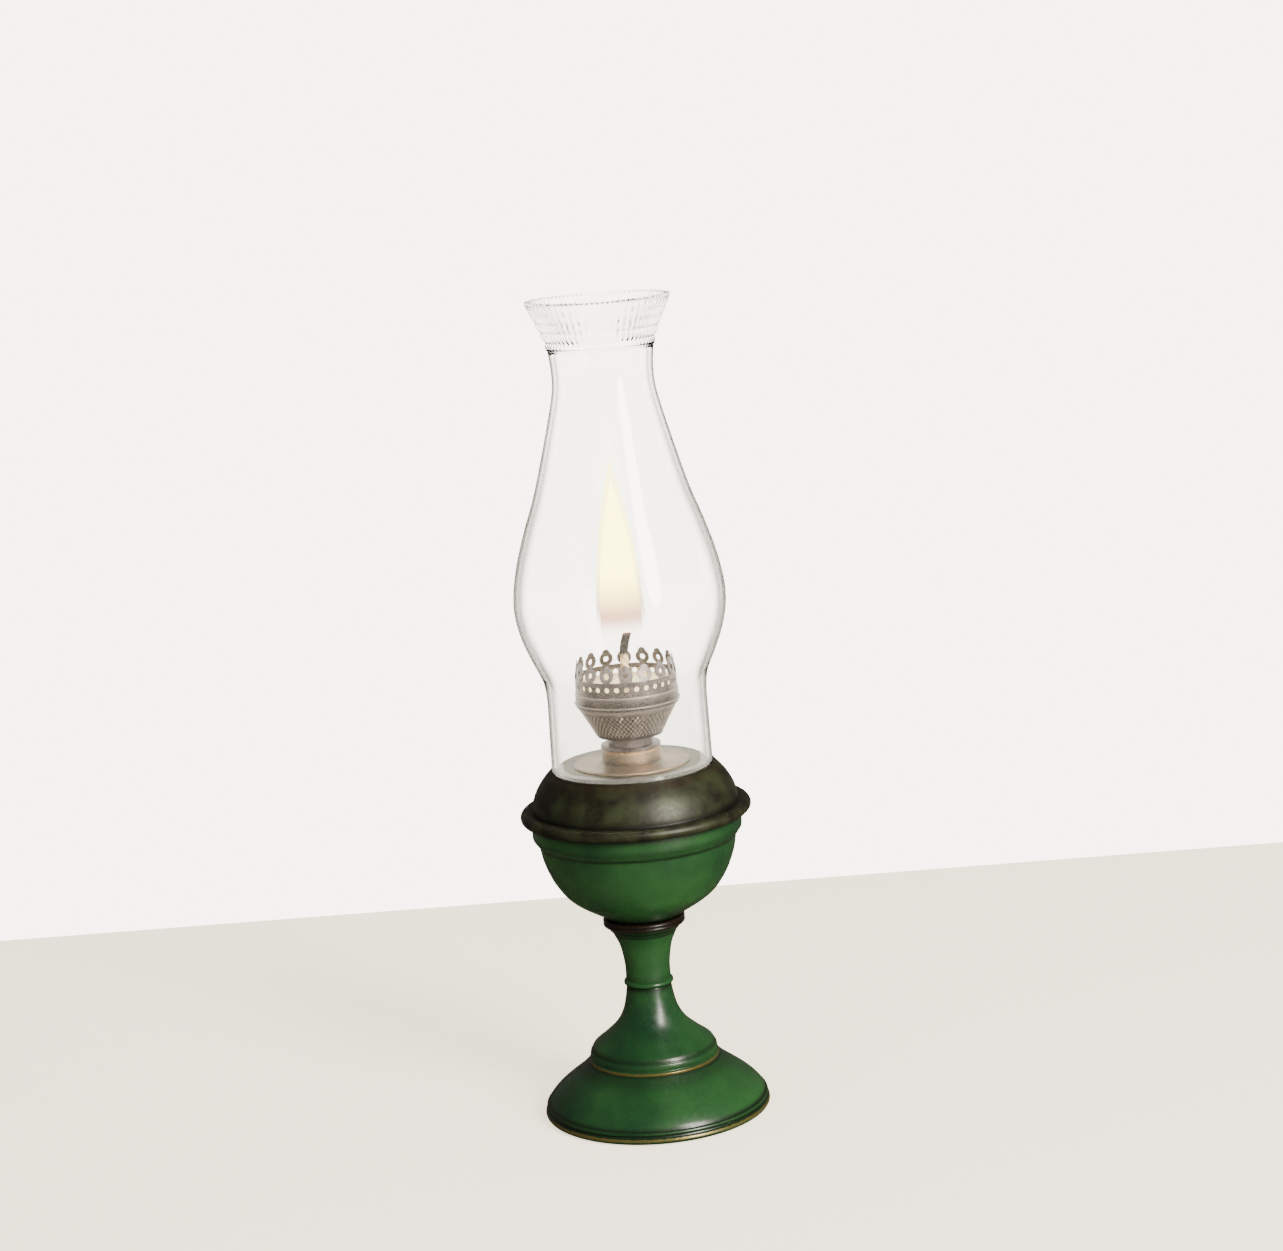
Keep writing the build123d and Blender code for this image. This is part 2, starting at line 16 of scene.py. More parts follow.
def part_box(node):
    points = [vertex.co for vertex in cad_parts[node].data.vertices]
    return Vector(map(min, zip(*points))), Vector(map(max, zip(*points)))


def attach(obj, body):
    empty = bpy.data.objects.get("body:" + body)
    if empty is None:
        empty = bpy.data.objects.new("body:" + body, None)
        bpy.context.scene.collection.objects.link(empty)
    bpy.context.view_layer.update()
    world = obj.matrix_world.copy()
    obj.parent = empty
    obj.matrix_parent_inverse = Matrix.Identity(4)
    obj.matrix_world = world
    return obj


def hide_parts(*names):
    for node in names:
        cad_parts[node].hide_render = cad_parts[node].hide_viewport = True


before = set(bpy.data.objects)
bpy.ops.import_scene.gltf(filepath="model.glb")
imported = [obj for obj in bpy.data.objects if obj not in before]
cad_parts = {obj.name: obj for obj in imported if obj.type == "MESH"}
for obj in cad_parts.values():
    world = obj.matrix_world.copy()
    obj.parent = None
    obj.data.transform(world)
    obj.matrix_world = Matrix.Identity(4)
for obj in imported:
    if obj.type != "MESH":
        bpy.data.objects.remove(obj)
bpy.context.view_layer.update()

MM = 0.001
CORNER = 28.0  # degrees; a sharper turn counts as a corner, which wears and is broken
log = logging.getLogger("oil_lamp")

Point = tuple[float, float]
Stroke = tuple[Point, ...]


def linear(colour: str) -> tuple[float, float, float, float]:
    """Linear RGBA of an sRGB hex colour."""
    parts = [int(colour[i : i + 2], 16) / 255 for i in (1, 3, 5)]
    return (*[c / 12.92 if c <= 0.04045 else ((c + 0.055) / 1.055) ** 2.4 for c in parts], 1.0)


def per_mm(size: float) -> float:
    """Pattern scale on Object coordinates that gives a feature of this many millimetres."""
    return 1.0 / (size * MM)


# ---- finishes --------------------------------------------------------------------------------


class Graph:
    """Shader nodes while they are being put together."""

    def __init__(self, owner: bpy.types.Material | bpy.types.World) -> None:
        """Start with an empty graph.

        Args:
            owner: The material or world that the nodes belong to.
        """
        owner.use_nodes = True
        self.tree = owner.node_tree
        self.tree.nodes.clear()

    def add(self, kind: str, feeds: dict | None = None, **settings: object) -> bpy.types.Node:
        """Add one node.

        Args:
            kind: The node's Blender type.
            feeds: What each input holds: a socket to link from, or a plain value.
            **settings: Properties of the node itself.

        Returns:
            The new node.
        """
        node = self.tree.nodes.new(kind)
        for key, value in settings.items():
            setattr(node, key, value)
        for key, value in (feeds or {}).items():
            if isinstance(value, bpy.types.NodeSocket):
                self.tree.links.new(value, node.inputs[key])
            else:
                node.inputs[key].default_value = value
        return node


class Surface(Graph):
    """A node material while it is being put together."""

    def __init__(self, name: str) -> None:
        """Start an empty material.

        Args:
            name: The real material's name.
        """
        self.material = bpy.data.materials.new(name)
        super().__init__(self.material)
        self.place = self.add("ShaderNodeTexCoord").outputs["Object"]

    def close(self, shader: bpy.types.NodeSocket) -> bpy.types.Material:
        """Link the finished shader to the output and hand over the material."""
        self.add("ShaderNodeOutputMaterial", {"Surface": shader})
        return self.material


@dataclass(frozen=True)
class AgedPaint:
    """Brushed oil enamel on spun brass, decades old.

    The enamel's own gloss gives broad soft highlights; rims rubbed by dusting hands show brown-gold
    metal, and grooves and the places under overhangs are darkened: dirt with painted shade.
    """

    name: str = "aged_green_enamel_on_brass"
    deep: str = "#0b2a16"
    fresh: str = "#204822"
    # near-black green for dirt and painted shade in grooves and under overhangs
    dirt_and_shade_colour: str = "#050a05"
    rubbed: str = "#6b5e35"
    patch: float = 34.0
    peel: float = 2.2
    chip: float = 1.6
    roughness: tuple[float, float] = (0.27, 0.42)

    def build(self) -> bpy.types.Material:
        """Put the material together.

        Returns:
            The finished material.
        """
        s = Surface(self.name)
        patch, peel, chips = (
            s.add(
                "ShaderNodeTexNoise", {"Vector": s.place, "Scale": per_mm(size), "Detail": detail}
            ).outputs["Fac"]
            for size, detail in ((self.patch, 5.0), (self.peel, 3.0), (self.chip, 6.0))
        )
        wear, dirt_and_shade = (
            s.add("ShaderNodeAttribute", attribute_name=layer).outputs["Fac"] for layer in ("wear", "dirt_and_shade")
        )
        ragged = s.add("ShaderNodeMath", {0: chips, 1: 0.7, 2: wear}, operation="MULTIPLY_ADD")
        bare = s.add(
            "ShaderNodeMapRange",
            {"Value": ragged.outputs[0], "From Min": 0.78, "From Max": 0.98},
            interpolation_type="SMOOTHSTEP",
        ).outputs[0]
        uneven = s.add("ShaderNodeMath", {0: patch, 1: 0.9, 2: 0.45}, operation="MULTIPLY_ADD").outputs[0]
        # dirt and painted shade: darker in grooves, inward corners and under overhangs
        dirt_and_shade_amount = s.add("ShaderNodeMath", {0: dirt_and_shade, 1: uneven}, operation="MULTIPLY", use_clamp=True)
        mottle = s.add("ShaderNodeMapRange", {"Value": patch, "From Min": 0.3, "From Max": 0.7})
        paint = s.add(
            "ShaderNodeMix",
            {0: mottle.outputs[0], 6: linear(self.deep), 7: linear(self.fresh)},
            data_type="RGBA",
        )
        dirtied_and_shaded = s.add(
            "ShaderNodeMix",
            {0: dirt_and_shade_amount.outputs[0], 6: paint.outputs[2], 7: linear(self.dirt_and_shade_colour)},
            data_type="RGBA",
        )
        colour = s.add(
            "ShaderNodeMix", {0: bare, 6: dirtied_and_shaded.outputs[2], 7: linear(self.rubbed)}, data_type="RGBA"
        )
        low, high = self.roughness
        rough = s.add(
            "ShaderNodeMapRange",
            {"Value": peel, "From Min": 0.3, "From Max": 0.7, "To Min": low, "To Max": high},
        )
        metal = s.add("ShaderNodeMath", {0: bare, 1: 0.7}, operation="MULTIPLY")
        ripple = s.add("ShaderNodeBump", {"Height": peel, "Strength": 0.16, "Distance": 0.25 * MM})
        relief = s.add(
            "ShaderNodeBump",
            {"Height": bare, "Strength": 0.5, "Distance": 0.06 * MM, "Normal": ripple.outputs[0]},
            invert=True,
        )
        shader = s.add(
            "ShaderNodeBsdfPrincipled",
            {
                "Base Color": colour.outputs[2],
                "Metallic": metal.outputs[0],
                "Roughness": rough.outputs[0],
                "Normal": relief.outputs[0],
                "Specular IOR Level": 0.35,
                "Coat Weight": 0.15,
                "Coat Roughness": 0.2,
            },
        )
        return s.close(shader.outputs[0])


@dataclass(frozen=True)
class Patina:
    """Copper alloy left to darken: spun, lacquered once, now mottled by heat, oil and handling.

    Two sizes of blotch give the uneven brown and olive; fine rings from the spinning tool catch the
    light as short streaks.
    """

    name: str = "dark_spun_copper_patina"
    dark: str = "#14150c"
    light: str = "#2d3520"
    warm: str = "#3b2a17"
    # near black for dirt and painted shade in grooves and under the flange
    dirt_and_shade_colour: str = "#0b0a07"
    warmth: float = 0.25
    blotch: float = 9.0
    speck: float = 1.4
    ring: float = 0.7
    metallic: float = 0.4
    relief: float = 0.05
    roughness: tuple[float, float] = (0.4, 0.52)

    def build(self) -> bpy.types.Material:
        """Put the material together.

        Returns:
            The finished material.
        """
        s = Surface(self.name)
        turned = s.add("ShaderNodeMapping", {"Vector": s.place, "Scale": (0.06, 0.06, 1.0)}).outputs[0]
        blotch, speck, ring = (
            s.add(
                "ShaderNodeTexNoise", {"Vector": place, "Scale": per_mm(size), "Detail": detail}
            ).outputs["Fac"]
            for place, size, detail in (
                (s.place, self.blotch, 6.0),
                (s.place, self.speck, 4.0),
                (turned, self.ring, 3.0),
            )
        )
        wear, dirt_and_shade = (
            s.add("ShaderNodeAttribute", attribute_name=layer).outputs["Fac"] for layer in ("wear", "dirt_and_shade")
        )
        spread = s.add("ShaderNodeMapRange", {"Value": blotch, "From Min": 0.36, "From Max": 0.66})
        base = s.add(
            "ShaderNodeMix",
            {0: spread.outputs[0], 6: linear(self.dark), 7: linear(self.light)},
            data_type="RGBA",
        )
        flecks = s.add(
            "ShaderNodeMapRange",
            {"Value": speck, "From Min": 0.46, "From Max": 0.72, "To Max": self.warmth},
        )
        warmed = s.add("ShaderNodeMath", {0: wear, 1: 0.9, 2: flecks.outputs[0]}, operation="MULTIPLY_ADD")
        limit = s.add("ShaderNodeClamp", {"Value": warmed.outputs[0]})
        bronzed = s.add(
            "ShaderNodeMix",
            {0: limit.outputs[0], 6: base.outputs[2], 7: linear(self.warm)},
            data_type="RGBA",
        )
        # dirt and painted shade: darker in grooves, inward corners and under overhangs
        dirt_and_shade_weight = s.add("ShaderNodeMath", {0: dirt_and_shade, 1: 0.85}, operation="MULTIPLY", use_clamp=True)
        colour = s.add(
            "ShaderNodeMix",
            {0: dirt_and_shade_weight.outputs[0], 6: bronzed.outputs[2], 7: linear(self.dirt_and_shade_colour)},
            data_type="RGBA",
        )
        low, high = self.roughness
        rough = s.add(
            "ShaderNodeMapRange",
            {"Value": speck, "From Min": 0.3, "From Max": 0.7, "To Min": low, "To Max": high},
        )
        grain = s.add("ShaderNodeMath", {0: ring, 1: speck}, operation="ADD")
        relief = s.add(
            "ShaderNodeBump", {"Height": grain.outputs[0], "Strength": 0.35, "Distance": self.relief * MM}
        )
        shader = s.add(
            "ShaderNodeBsdfPrincipled",
            {
                "Base Color": colour.outputs[2],
                "Metallic": self.metallic,
                "Roughness": rough.outputs[0],
                "Normal": relief.outputs[0],
            },
        )
        return s.close(shader.outputs[0])


@dataclass(frozen=True)
class Fibre:
    """Matted or pressed stuff such as felt, cork composition or grey cast iron: all grain, no gloss.

    Two noises, one for the grain and one for the tone, keep it from looking like paint.
    """

    name: str
    dark: str
    light: str
    grain: float
    tone: float
    roughness: float
    metallic: float = 0.0
    relief: float = 0.2

    def build(self) -> bpy.types.Material:
        """Put the material together.

        Returns:
            The finished material.
        """
        s = Surface(self.name)
        grain, tone = (
            s.add(
                "ShaderNodeTexNoise", {"Vector": s.place, "Scale": per_mm(size), "Detail": detail}
            ).outputs["Fac"]
            for size, detail in ((self.grain, 6.0), (self.tone, 3.0))
        )
        blend = s.add("ShaderNodeMath", {0: grain, 1: tone}, operation="ADD").outputs[0]
        share = s.add("ShaderNodeMapRange", {"Value": blend, "From Min": 0.75, "From Max": 1.25})
        colour = s.add(
            "ShaderNodeMix",
            {0: share.outputs[0], 6: linear(self.dark), 7: linear(self.light)},
            data_type="RGBA",
        )
        relief = s.add("ShaderNodeBump", {"Height": grain, "Strength": 0.8, "Distance": self.relief * MM})
        shader = s.add(
            "ShaderNodeBsdfPrincipled",
            {
                "Base Color": colour.outputs[2],
                "Metallic": self.metallic,
                "Roughness": self.roughness,
                "Normal": relief.outputs[0],
            },
        )
        return s.close(shader.outputs[0])


@dataclass(frozen=True)
class BlownGlass:
    """Clear soda-lime glass, blown and fire-polished.

    The outline, where the wall is seen edge-on, is tinted dark grey: painted shade for the dark
    surroundings seen in its edge. Elsewhere it only adds reflections, and the straight foot is painted a
    little greyer than the bulge as painted shade. Faint ripples from blowing break the reflections up. Lamps
    shine straight through it.
    """

    name: str = "clear_blown_soda_lime_glass"
    body: str = "#ffffff"
    # painted shade: light grey for the straight foot, whose glass is as clear as the bulge
    foot: str = "#eeeeec"
    # painted shade: dark grey for the outline, where the wall is seen edge-on
    edge: str = "#2e312e"
    ripple: float = 24.0
    painted_grey_foot_height: tuple[float, float] = (204.0, 222.0)

    def build(self) -> bpy.types.Material:
        """Put the material together.

        Returns:
            The finished material.
        """
        s = Surface(self.name)
        facing = s.add("ShaderNodeLayerWeight", {"Blend": 0.5}).outputs["Facing"]
        # painted shade: the glass is tinted darker the more edge-on it is seen
        painted_edge_shade = s.add(
            "ShaderNodeMapRange",
            {"Value": facing, "From Min": 0.52, "From Max": 0.78},
            interpolation_type="SMOOTHSTEP",
        )
        height = s.add("ShaderNodeSeparateXYZ", {0: s.place}).outputs["Z"]
        # painted shade: the foot is greyer below the bulge
        low, high = self.painted_grey_foot_height
        rise = s.add("ShaderNodeMapRange", {"Value": height, "From Min": low * MM, "From Max": high * MM})
        body = s.add(
            "ShaderNodeMix",
            {0: rise.outputs[0], 6: linear(self.foot), 7: linear(self.body)},
            data_type="RGBA",
        )
        tint_with_painted_shade = s.add(
            "ShaderNodeMix",
            {0: painted_edge_shade.outputs[0], 6: body.outputs[2], 7: linear(self.edge)},
            data_type="RGBA",
        )
        wave = s.add("ShaderNodeTexNoise", {"Vector": s.place, "Scale": per_mm(self.ripple), "Detail": 1.0})
        bump = s.add(
            "ShaderNodeBump", {"Height": wave.outputs["Fac"], "Strength": 0.12, "Distance": 0.6 * MM}
        )
        glass = s.add(
            "ShaderNodeBsdfPrincipled",
            {
                "Base Color": tint_with_painted_shade.outputs[2],
                "Roughness": 0.0,
                "IOR": 1.5,
                "Transmission Weight": 1.0,
                "Normal": bump.outputs[0],
            },
        )
        clear = s.add("ShaderNodeBsdfTransparent").outputs[0]
        shadow = s.add("ShaderNodeLightPath").outputs["Is Shadow Ray"]
        both = s.add("ShaderNodeMixShader", {0: shadow, 1: glass.outputs[0], 2: clear})
        return s.close(both.outputs[0])


@dataclass(frozen=True)
class BurningOil:
    """A still paraffin flame: clear round the wick, peach above it, pale yellow higher up.

    Colour and cover follow the height only, so it looks the same from all round.

    Attributes:
        name: The material's name.
        base: Height of its foot.
        tip: Height of its tip.
        strength: How brightly it glows.
        cover: How solid it looks at the foot and higher up.
        lit: Between which shares of the height the cover changes.
    """

    name: str
    base: float
    tip: float
    strength: float
    cover: Point
    lit: Point
    low: str = "#8f6b58"
    high: str = "#ffee7c"

    def build(self) -> bpy.types.Material:
        """Put the material together.

        Returns:
            The finished material.
        """
        s = Surface(self.name)
        height = s.add("ShaderNodeSeparateXYZ", {0: s.place}).outputs["Z"]
        rise = s.add(
            "ShaderNodeMapRange", {"Value": height, "From Min": self.base * MM, "From Max": self.tip * MM}
        ).outputs[0]
        peach = s.add("ShaderNodeMapRange", {"Value": rise, "From Min": 0.36, "From Max": 0.54})
        body = s.add(
            "ShaderNodeMix",
            {0: peach.outputs[0], 6: linear(self.low), 7: linear(self.high)},
            data_type="RGBA",
        )
        alpha = s.add(
            "ShaderNodeMapRange",
            {
                "Value": rise,
                "From Min": self.lit[0],
                "From Max": self.lit[1],
                "To Min": self.cover[0],
                "To Max": self.cover[1],
            },
            interpolation_type="SMOOTHSTEP",
        )
        shader = s.add(
            "ShaderNodeBsdfPrincipled",
            {
                "Base Color": (0.0, 0.0, 0.0, 1.0),
                "Roughness": 1.0,
                "Specular IOR Level": 0.0,
                "Emission Color": body.outputs[2],
                "Emission Strength": self.strength,
                "Alpha": alpha.outputs[0],
            },
        )
        return s.close(shader.outputs[0])


@dataclass(frozen=True)
class BraidedCotton:
    """Round braided cotton wick: pale and oily in its tube, burnt to a black crust at the tip."""

    name: str = "braided_cotton_wick"
    clean: str = "#c9b48c"
    oily: str = "#8d7348"
    char: str = "#0a0403"
    char_from: float = 222.5
    char_full: float = 224.5
    strand: float = 1.1

    def build(self) -> bpy.types.Material:
        """Put the material together.

        Returns:
            The finished material.
        """
        s = Surface(self.name)
        height = s.add("ShaderNodeSeparateXYZ", {0: s.place}).outputs["Z"]
        fuzz = s.add("ShaderNodeTexNoise", {"Vector": s.place, "Scale": per_mm(self.strand), "Detail": 5.0})
        weave = s.add(
            "ShaderNodeTexWave",
            {"Vector": s.place, "Scale": per_mm(self.strand) / 6.0, "Distortion": 2.0, "Detail": 1.0},
            bands_direction="DIAGONAL",
        )
        shifted = s.add(
            "ShaderNodeMath", {0: fuzz.outputs["Fac"], 1: 2 * MM, 2: height}, operation="MULTIPLY_ADD"
        )
        burnt = s.add(
            "ShaderNodeMapRange",
            {
                "Value": shifted.outputs[0],
                "From Min": (self.char_from + 1) * MM,
                "From Max": (self.char_full + 1) * MM,
            },
        )
        yarn = s.add(
            "ShaderNodeMix",
            {0: weave.outputs["Fac"], 6: linear(self.oily), 7: linear(self.clean)},
            data_type="RGBA",
        )
        colour = s.add(
            "ShaderNodeMix",
            {0: burnt.outputs[0], 6: yarn.outputs[2], 7: linear(self.char)},
            data_type="RGBA",
        )
        relief = s.add(
            "ShaderNodeBump", {"Height": weave.outputs["Fac"], "Strength": 0.7, "Distance": 0.2 * MM}
        )
        shader = s.add(
            "ShaderNodeBsdfPrincipled",
            {"Base Color": colour.outputs[2], "Roughness": 0.85, "Normal": relief.outputs[0]},
        )
        return s.close(shader.outputs[0])


class Finish(Enum):
    """The lamp's finishes, each built once when it is first asked for."""

    PAINT = AgedPaint()
    LID = Patina()
    # cast brass under black lacquer: near black, with a soft gloss and brown where it is handled
    COLLAR = Patina(
        name="black_lacquered_brass",
        dark="#060605",
        light="#12120d",
        warm="#3a2818",
        warmth=0.2,
        metallic=0.2,
        roughness=(0.25, 0.4),
    )
    # turned brass browned by the flame above: grey-olive with broad copper stains, half polished
    PLATE = Patina(
        name="heat_browned_brass_plate",
        dark="#45443a",
        light="#78644f",
        warm="#8a6549",
        warmth=0.5,
        blotch=14.0,
        metallic=0.6,
        roughness=(0.35, 0.55),
    )
    # stamped bronze under old soot: mauve-brown, with bright metal where edges rub; its pale colour also
    # paints a highlight round the basket's air holes
    BURNER = Patina(
        name="sooted_burner_bronze",
        dark="#302b2c",
        light="#524a49",
        warm="#c0b4a8",
        warmth=0.15,
        blotch=6.0,
        speck=0.9,
        metallic=0.7,
        roughness=(0.3, 0.48),
    )
    # pressed wool: matt, soft, flecked dark green
    FELT = Fibre("pressed_wool_felt", "#0d2214", "#23432a", grain=0.5, tone=8.0, roughness=0.95)
    # iron as it leaves the sand: dark grey and granular
    IRON = Fibre(
        "sand_cast_grey_iron", "#1d1c1b", "#3a3836", grain=1.0, tone=9.0, roughness=0.7, metallic=0.8
    )
    # zinc plating: pale, slightly blue and faintly crystalline
    STEEL = Fibre(
        "zinc_plated_steel",
        "#8a8d90",
        "#b4b6b5",
        grain=0.6,
        tone=5.0,
        roughness=0.35,
        metallic=1.0,
        relief=0.03,
    )
    # rolled tinplate: bright grey with broad soft clouds
    TIN = Fibre(
        "tinplate", "#8f9091", "#c3c3bf", grain=2.0, tone=14.0, roughness=0.32, metallic=1.0, relief=0.03
    )
    # ground cork in binder: matt tan crumbs
    CORK = Fibre("cork_composition", "#5b3d22", "#a37d4e", grain=0.7, tone=2.2, roughness=0.9)
    WICK = BraidedCotton()
    GLASS = BlownGlass()

    def material(self) -> bpy.types.Material:
        """The finish as a Blender material."""
        return bpy.data.materials.get(self.value.name) or self.value.build()


# ---- turning -----------------------------------------------------------------------------------


@dataclass(frozen=True)
class Rub:
    """A ring on a turned piece that is worn, or dirty and darkened with painted shade.

    Attributes:
        radius: Its distance from the axis.
        height: Its height above the table.
        reach: How far the effect spreads.
        wear: Paint rubbed off, from 0 to 1.
        dirt_and_shade: Dirt settled there with painted shade, from 0 to 1.
    """

    radius: float
    height: float
    reach: float
    wear: float = 0.0
    dirt_and_shade: float = 0.0


def flowing(stroke: Stroke, step: float) -> list[Point]:
    """Points about a step apart on a smooth line through a stroke's points.

    Args:
        stroke: Two points for a straight line, more for a curve.
        step: Spacing of the result in millimetres.

    Returns:
        The points, the stroke's own first and last among them.
    """
    ends = (stroke[0], *stroke, stroke[-1])
    line: list[Point] = []
    for before, here, after, beyond in zip(ends, ends[1:], ends[2:], ends[3:]):
        count = max(1, math.ceil(math.dist(here, after) / step))
        for i in range(count):
            t = i / count
            line.append(
                tuple(
                    0.5
                    * (
                        2 * b
                        + (c - a) * t
                        + (2 * a - 5 * b + 4 * c - d) * t**2
                        + (3 * b - a - 3 * c + d) * t**3
                    )
                    for a, b, c, d in zip(before, here, after, beyond)
                )
            )
    return [*line, stroke[-1]]


def bead(centre: Point, radius: float, start: float, end: float) -> Stroke:
    """A round edge as a stroke.

    Args:
        centre: The middle of the round.
        radius: Its radius.
        start: The angle that it starts from, in degrees from outward, turning upwards.
        end: The angle that it stops at.

    Returns:
        Points along the round.
    """
    turns = max(3, round(abs(end - start) / 24))
    angles = [math.radians(start + (end - start) * i / turns) for i in range(turns + 1)]
    return tuple((centre[0] + radius * math.cos(a), centre[1] + radius * math.sin(a)) for a in angles)


def joined(*runs: Point | Stroke) -> tuple[Stroke, ...]:
    """A closed outline: corners and smooth runs, with straight strokes between them.

    Args:
        *runs: Corners and runs in order.

    Returns:
        The strokes, the last one leading back to the start.
    """
    whole = [run if isinstance(run[0], tuple) else (run,) for run in runs]
    strokes: list[Stroke] = []
    for run, following in zip(whole, whole[1:] + whole[:1]):
        if len(run) > 1:
            strokes.append(run)
        if run[-1] != following[0]:
            strokes.append((run[-1], following[0]))
    return tuple(strokes)


@dataclass
class Turned:
    """A piece with one section all round, shaped by extruding its outline and spinning it.

    Attributes:
        name: The piece's name.
        base: Height of the outline's zero above the table.
        strokes: The closed outline; strokes meet at corners.
        sides: Flats all round.
        step: Spacing of the points along the outline.
        steps: Spacing for each stroke, where one spacing won't do.
        soften: Radius of the broken edges.
        rubs: Rings of wear or dirt besides those at the corners.
        corner_wear: Wear on every outward corner.
        corner_dirt_and_shade: Dirt and painted shade in every inward corner.
    """

    name: str
    base: float
    strokes: tuple[Stroke, ...]
    sides: int = 144
    step: float = 0.9
    steps: tuple[float, ...] = ()
    soften: float = 0.18
    rubs: tuple[Rub, ...] = ()
    corner_wear: float = 0.3
    corner_dirt_and_shade: float = 0.85

    def outline(self) -> list[Point]:
        """Run through every stroke.

        Returns:
            The whole outline, each corner once.
        """
        points: list[Point] = []
        for stroke, step in zip(self.strokes, self.steps or [self.step] * len(self.strokes)):
            for point in flowing(stroke, step):
                if not points or math.dist(point, points[-1]) > 1e-6:
                    points.append(point)
        if math.dist(points[0], points[-1]) < 1e-6:
            points.pop()
        return points

    def corners(self) -> list[Rub]:
        """Find the rings where a turned piece ages first, and where shade is painted in.

        Returns:
            Wear on the outward corners, and dirt with painted shade in the inward ones.
        """
        points = self.outline()
        area = sum(a[0] * b[1] - b[0] * a[1] for a, b in zip(points, points[1:] + points[:1]))
        rings = []
        for before, here, after in zip(points[-1:] + points, points, points[1:] + points[:1]):
            way_in = Vector(here) - Vector(before)
            way_out = Vector(after) - Vector(here)
            turn = math.degrees(way_in.angle_signed(way_out, 0.0)) * (-1 if area > 0 else 1)
            if turn > CORNER:
                rings.append(Rub(here[0], here[1] + self.base, 0.7, wear=self.corner_wear))
            # inward corners get dirt with painted shade
            elif turn < -CORNER:
                rings.append(Rub(here[0], here[1] + self.base, 1.3, dirt_and_shade=self.corner_dirt_and_shade))
        return rings

    def form(self) -> bpy.types.Object:
        """Model the piece.

        Returns:
            The finished mesh object, at the origin.
        """
        points = self.outline()
        bpy.ops.object.select_all(action="DESELECT")
        start = (points[0][0] * MM, 0.0, (points[0][1] + self.base) * MM)
        bpy.ops.mesh.primitive_plane_add(size=MM, location=start)
        piece = bpy.context.active_object
        piece.name = piece.data.name = self.name
        bpy.ops.object.transform_apply(location=True, rotation=True, scale=True)
        bpy.ops.object.mode_set(mode="EDIT")
        bpy.ops.mesh.select_mode(type="VERT")
        bpy.ops.mesh.select_all(action="SELECT")
        bpy.ops.mesh.merge(type="CENTER")
        for here, after in zip(points, points[1:] + points[:1]):
            shift = ((after[0] - here[0]) * MM, 0.0, (after[1] - here[1]) * MM)
            bpy.ops.mesh.extrude_region_move(TRANSFORM_OT_translate={"value": shift})
        bpy.ops.mesh.select_all(action="SELECT")
        bpy.ops.mesh.remove_doubles(threshold=0.001 * MM)
        bpy.ops.mesh.select_all(action="SELECT")
        bpy.ops.mesh.spin(steps=self.sides, angle=math.tau, center=(0, 0, 0), axis=(0, 0, 1))
        bpy.ops.mesh.select_all(action="SELECT")
        bpy.ops.mesh.remove_doubles(threshold=0.002 * MM)
        bpy.ops.mesh.select_all(action="SELECT")
        bpy.ops.mesh.normals_make_consistent(inside=False)
        bpy.ops.object.mode_set(mode="OBJECT")
        if self.soften:
            edge = piece.modifiers.new("broken_edges", "BEVEL")
            edge.width = self.soften * MM
            edge.segments = 2
            edge.limit_method = "ANGLE"
            edge.angle_limit = math.radians(CORNER)
            bpy.ops.object.modifier_apply(modifier=edge.name)
        bpy.ops.object.shade_smooth_by_angle(angle=math.radians(40))
        age(piece, (*self.rubs, *self.corners()))
        return piece


def places(piece: bpy.types.Object) -> np.ndarray:
    """Read a piece's shape.

    Args:
        piece: The mesh object.

    Returns:
        Every vertex, one row each, in millimetres.
    """
    flat = np.empty(len(piece.data.vertices) * 3, np.float32)
    piece.data.vertices.foreach_get("co", flat)
    return flat.reshape(-1, 3).astype(float) / MM


def age(piece: bpy.types.Object, rubs: tuple[Rub, ...]) -> None:
    """Write a piece's wear, and its dirt with painted shade, as point attributes.

    Args:
        piece: The finished mesh.
        rubs: The rings that are worn, or dirty and shaded.
    """
    co = places(piece)
    radius = np.hypot(co[:, 0], co[:, 1])
    layers = {"wear": np.zeros(len(co)), "dirt_and_shade": np.zeros(len(co))}
    for rub in rubs:
        near = np.exp(-((radius - rub.radius) ** 2 + (co[:, 2] - rub.height) ** 2) / rub.reach**2)
        layers["wear"] = np.maximum(layers["wear"], rub.wear * near)
        layers["dirt_and_shade"] = np.maximum(layers["dirt_and_shade"], rub.dirt_and_shade * near)
    for name, values in layers.items():
        piece.data.attributes.new(name, "FLOAT", "POINT").data.foreach_set("value", values.astype(np.float32))


def fit(piece: bpy.types.Object, body: str, node: str, finish: Finish) -> None:
    """Hang a finished piece on its body in place of its CAD node.

    Args:
        piece: The finished mesh.
        body: The CAD body that carries it.
        node: The CAD node that it stands for.
        finish: What it is dressed in.
    """
    piece.data.materials.clear()
    piece.data.materials.append(finish.material())
    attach(piece, body)
    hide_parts(node)
    log.info("%s: %d faces", piece.name, len(piece.data.polygons))


def dress(node: str, finish: Finish) -> None:
    """Give a CAD node that stays its finish.

    Args:
        node: The CAD node.
        finish: What it is dressed in.
    """
    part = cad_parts[node]
    for index in range(max(1, len(part.material_slots))):
        if not part.material_slots:
            part.data.materials.append(finish.material())
        part.material_slots[index].material = finish.material()
    log.info("%s: frame mesh, %s", node, finish.value.name)


def base_of(node: str) -> float:
    """Height of a CAD node's underside in millimetres."""
    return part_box(node)[0].z / MM


def top_of(node: str) -> float:
    """Height of a CAD node's top in millimetres."""
    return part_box(node)[1].z / MM


def reach_of(node: str) -> float:
    """Largest radius of a CAD node in millimetres."""
    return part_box(node)[1].y / MM


# ---- pedestal ----------------------------------------------------------------------------------


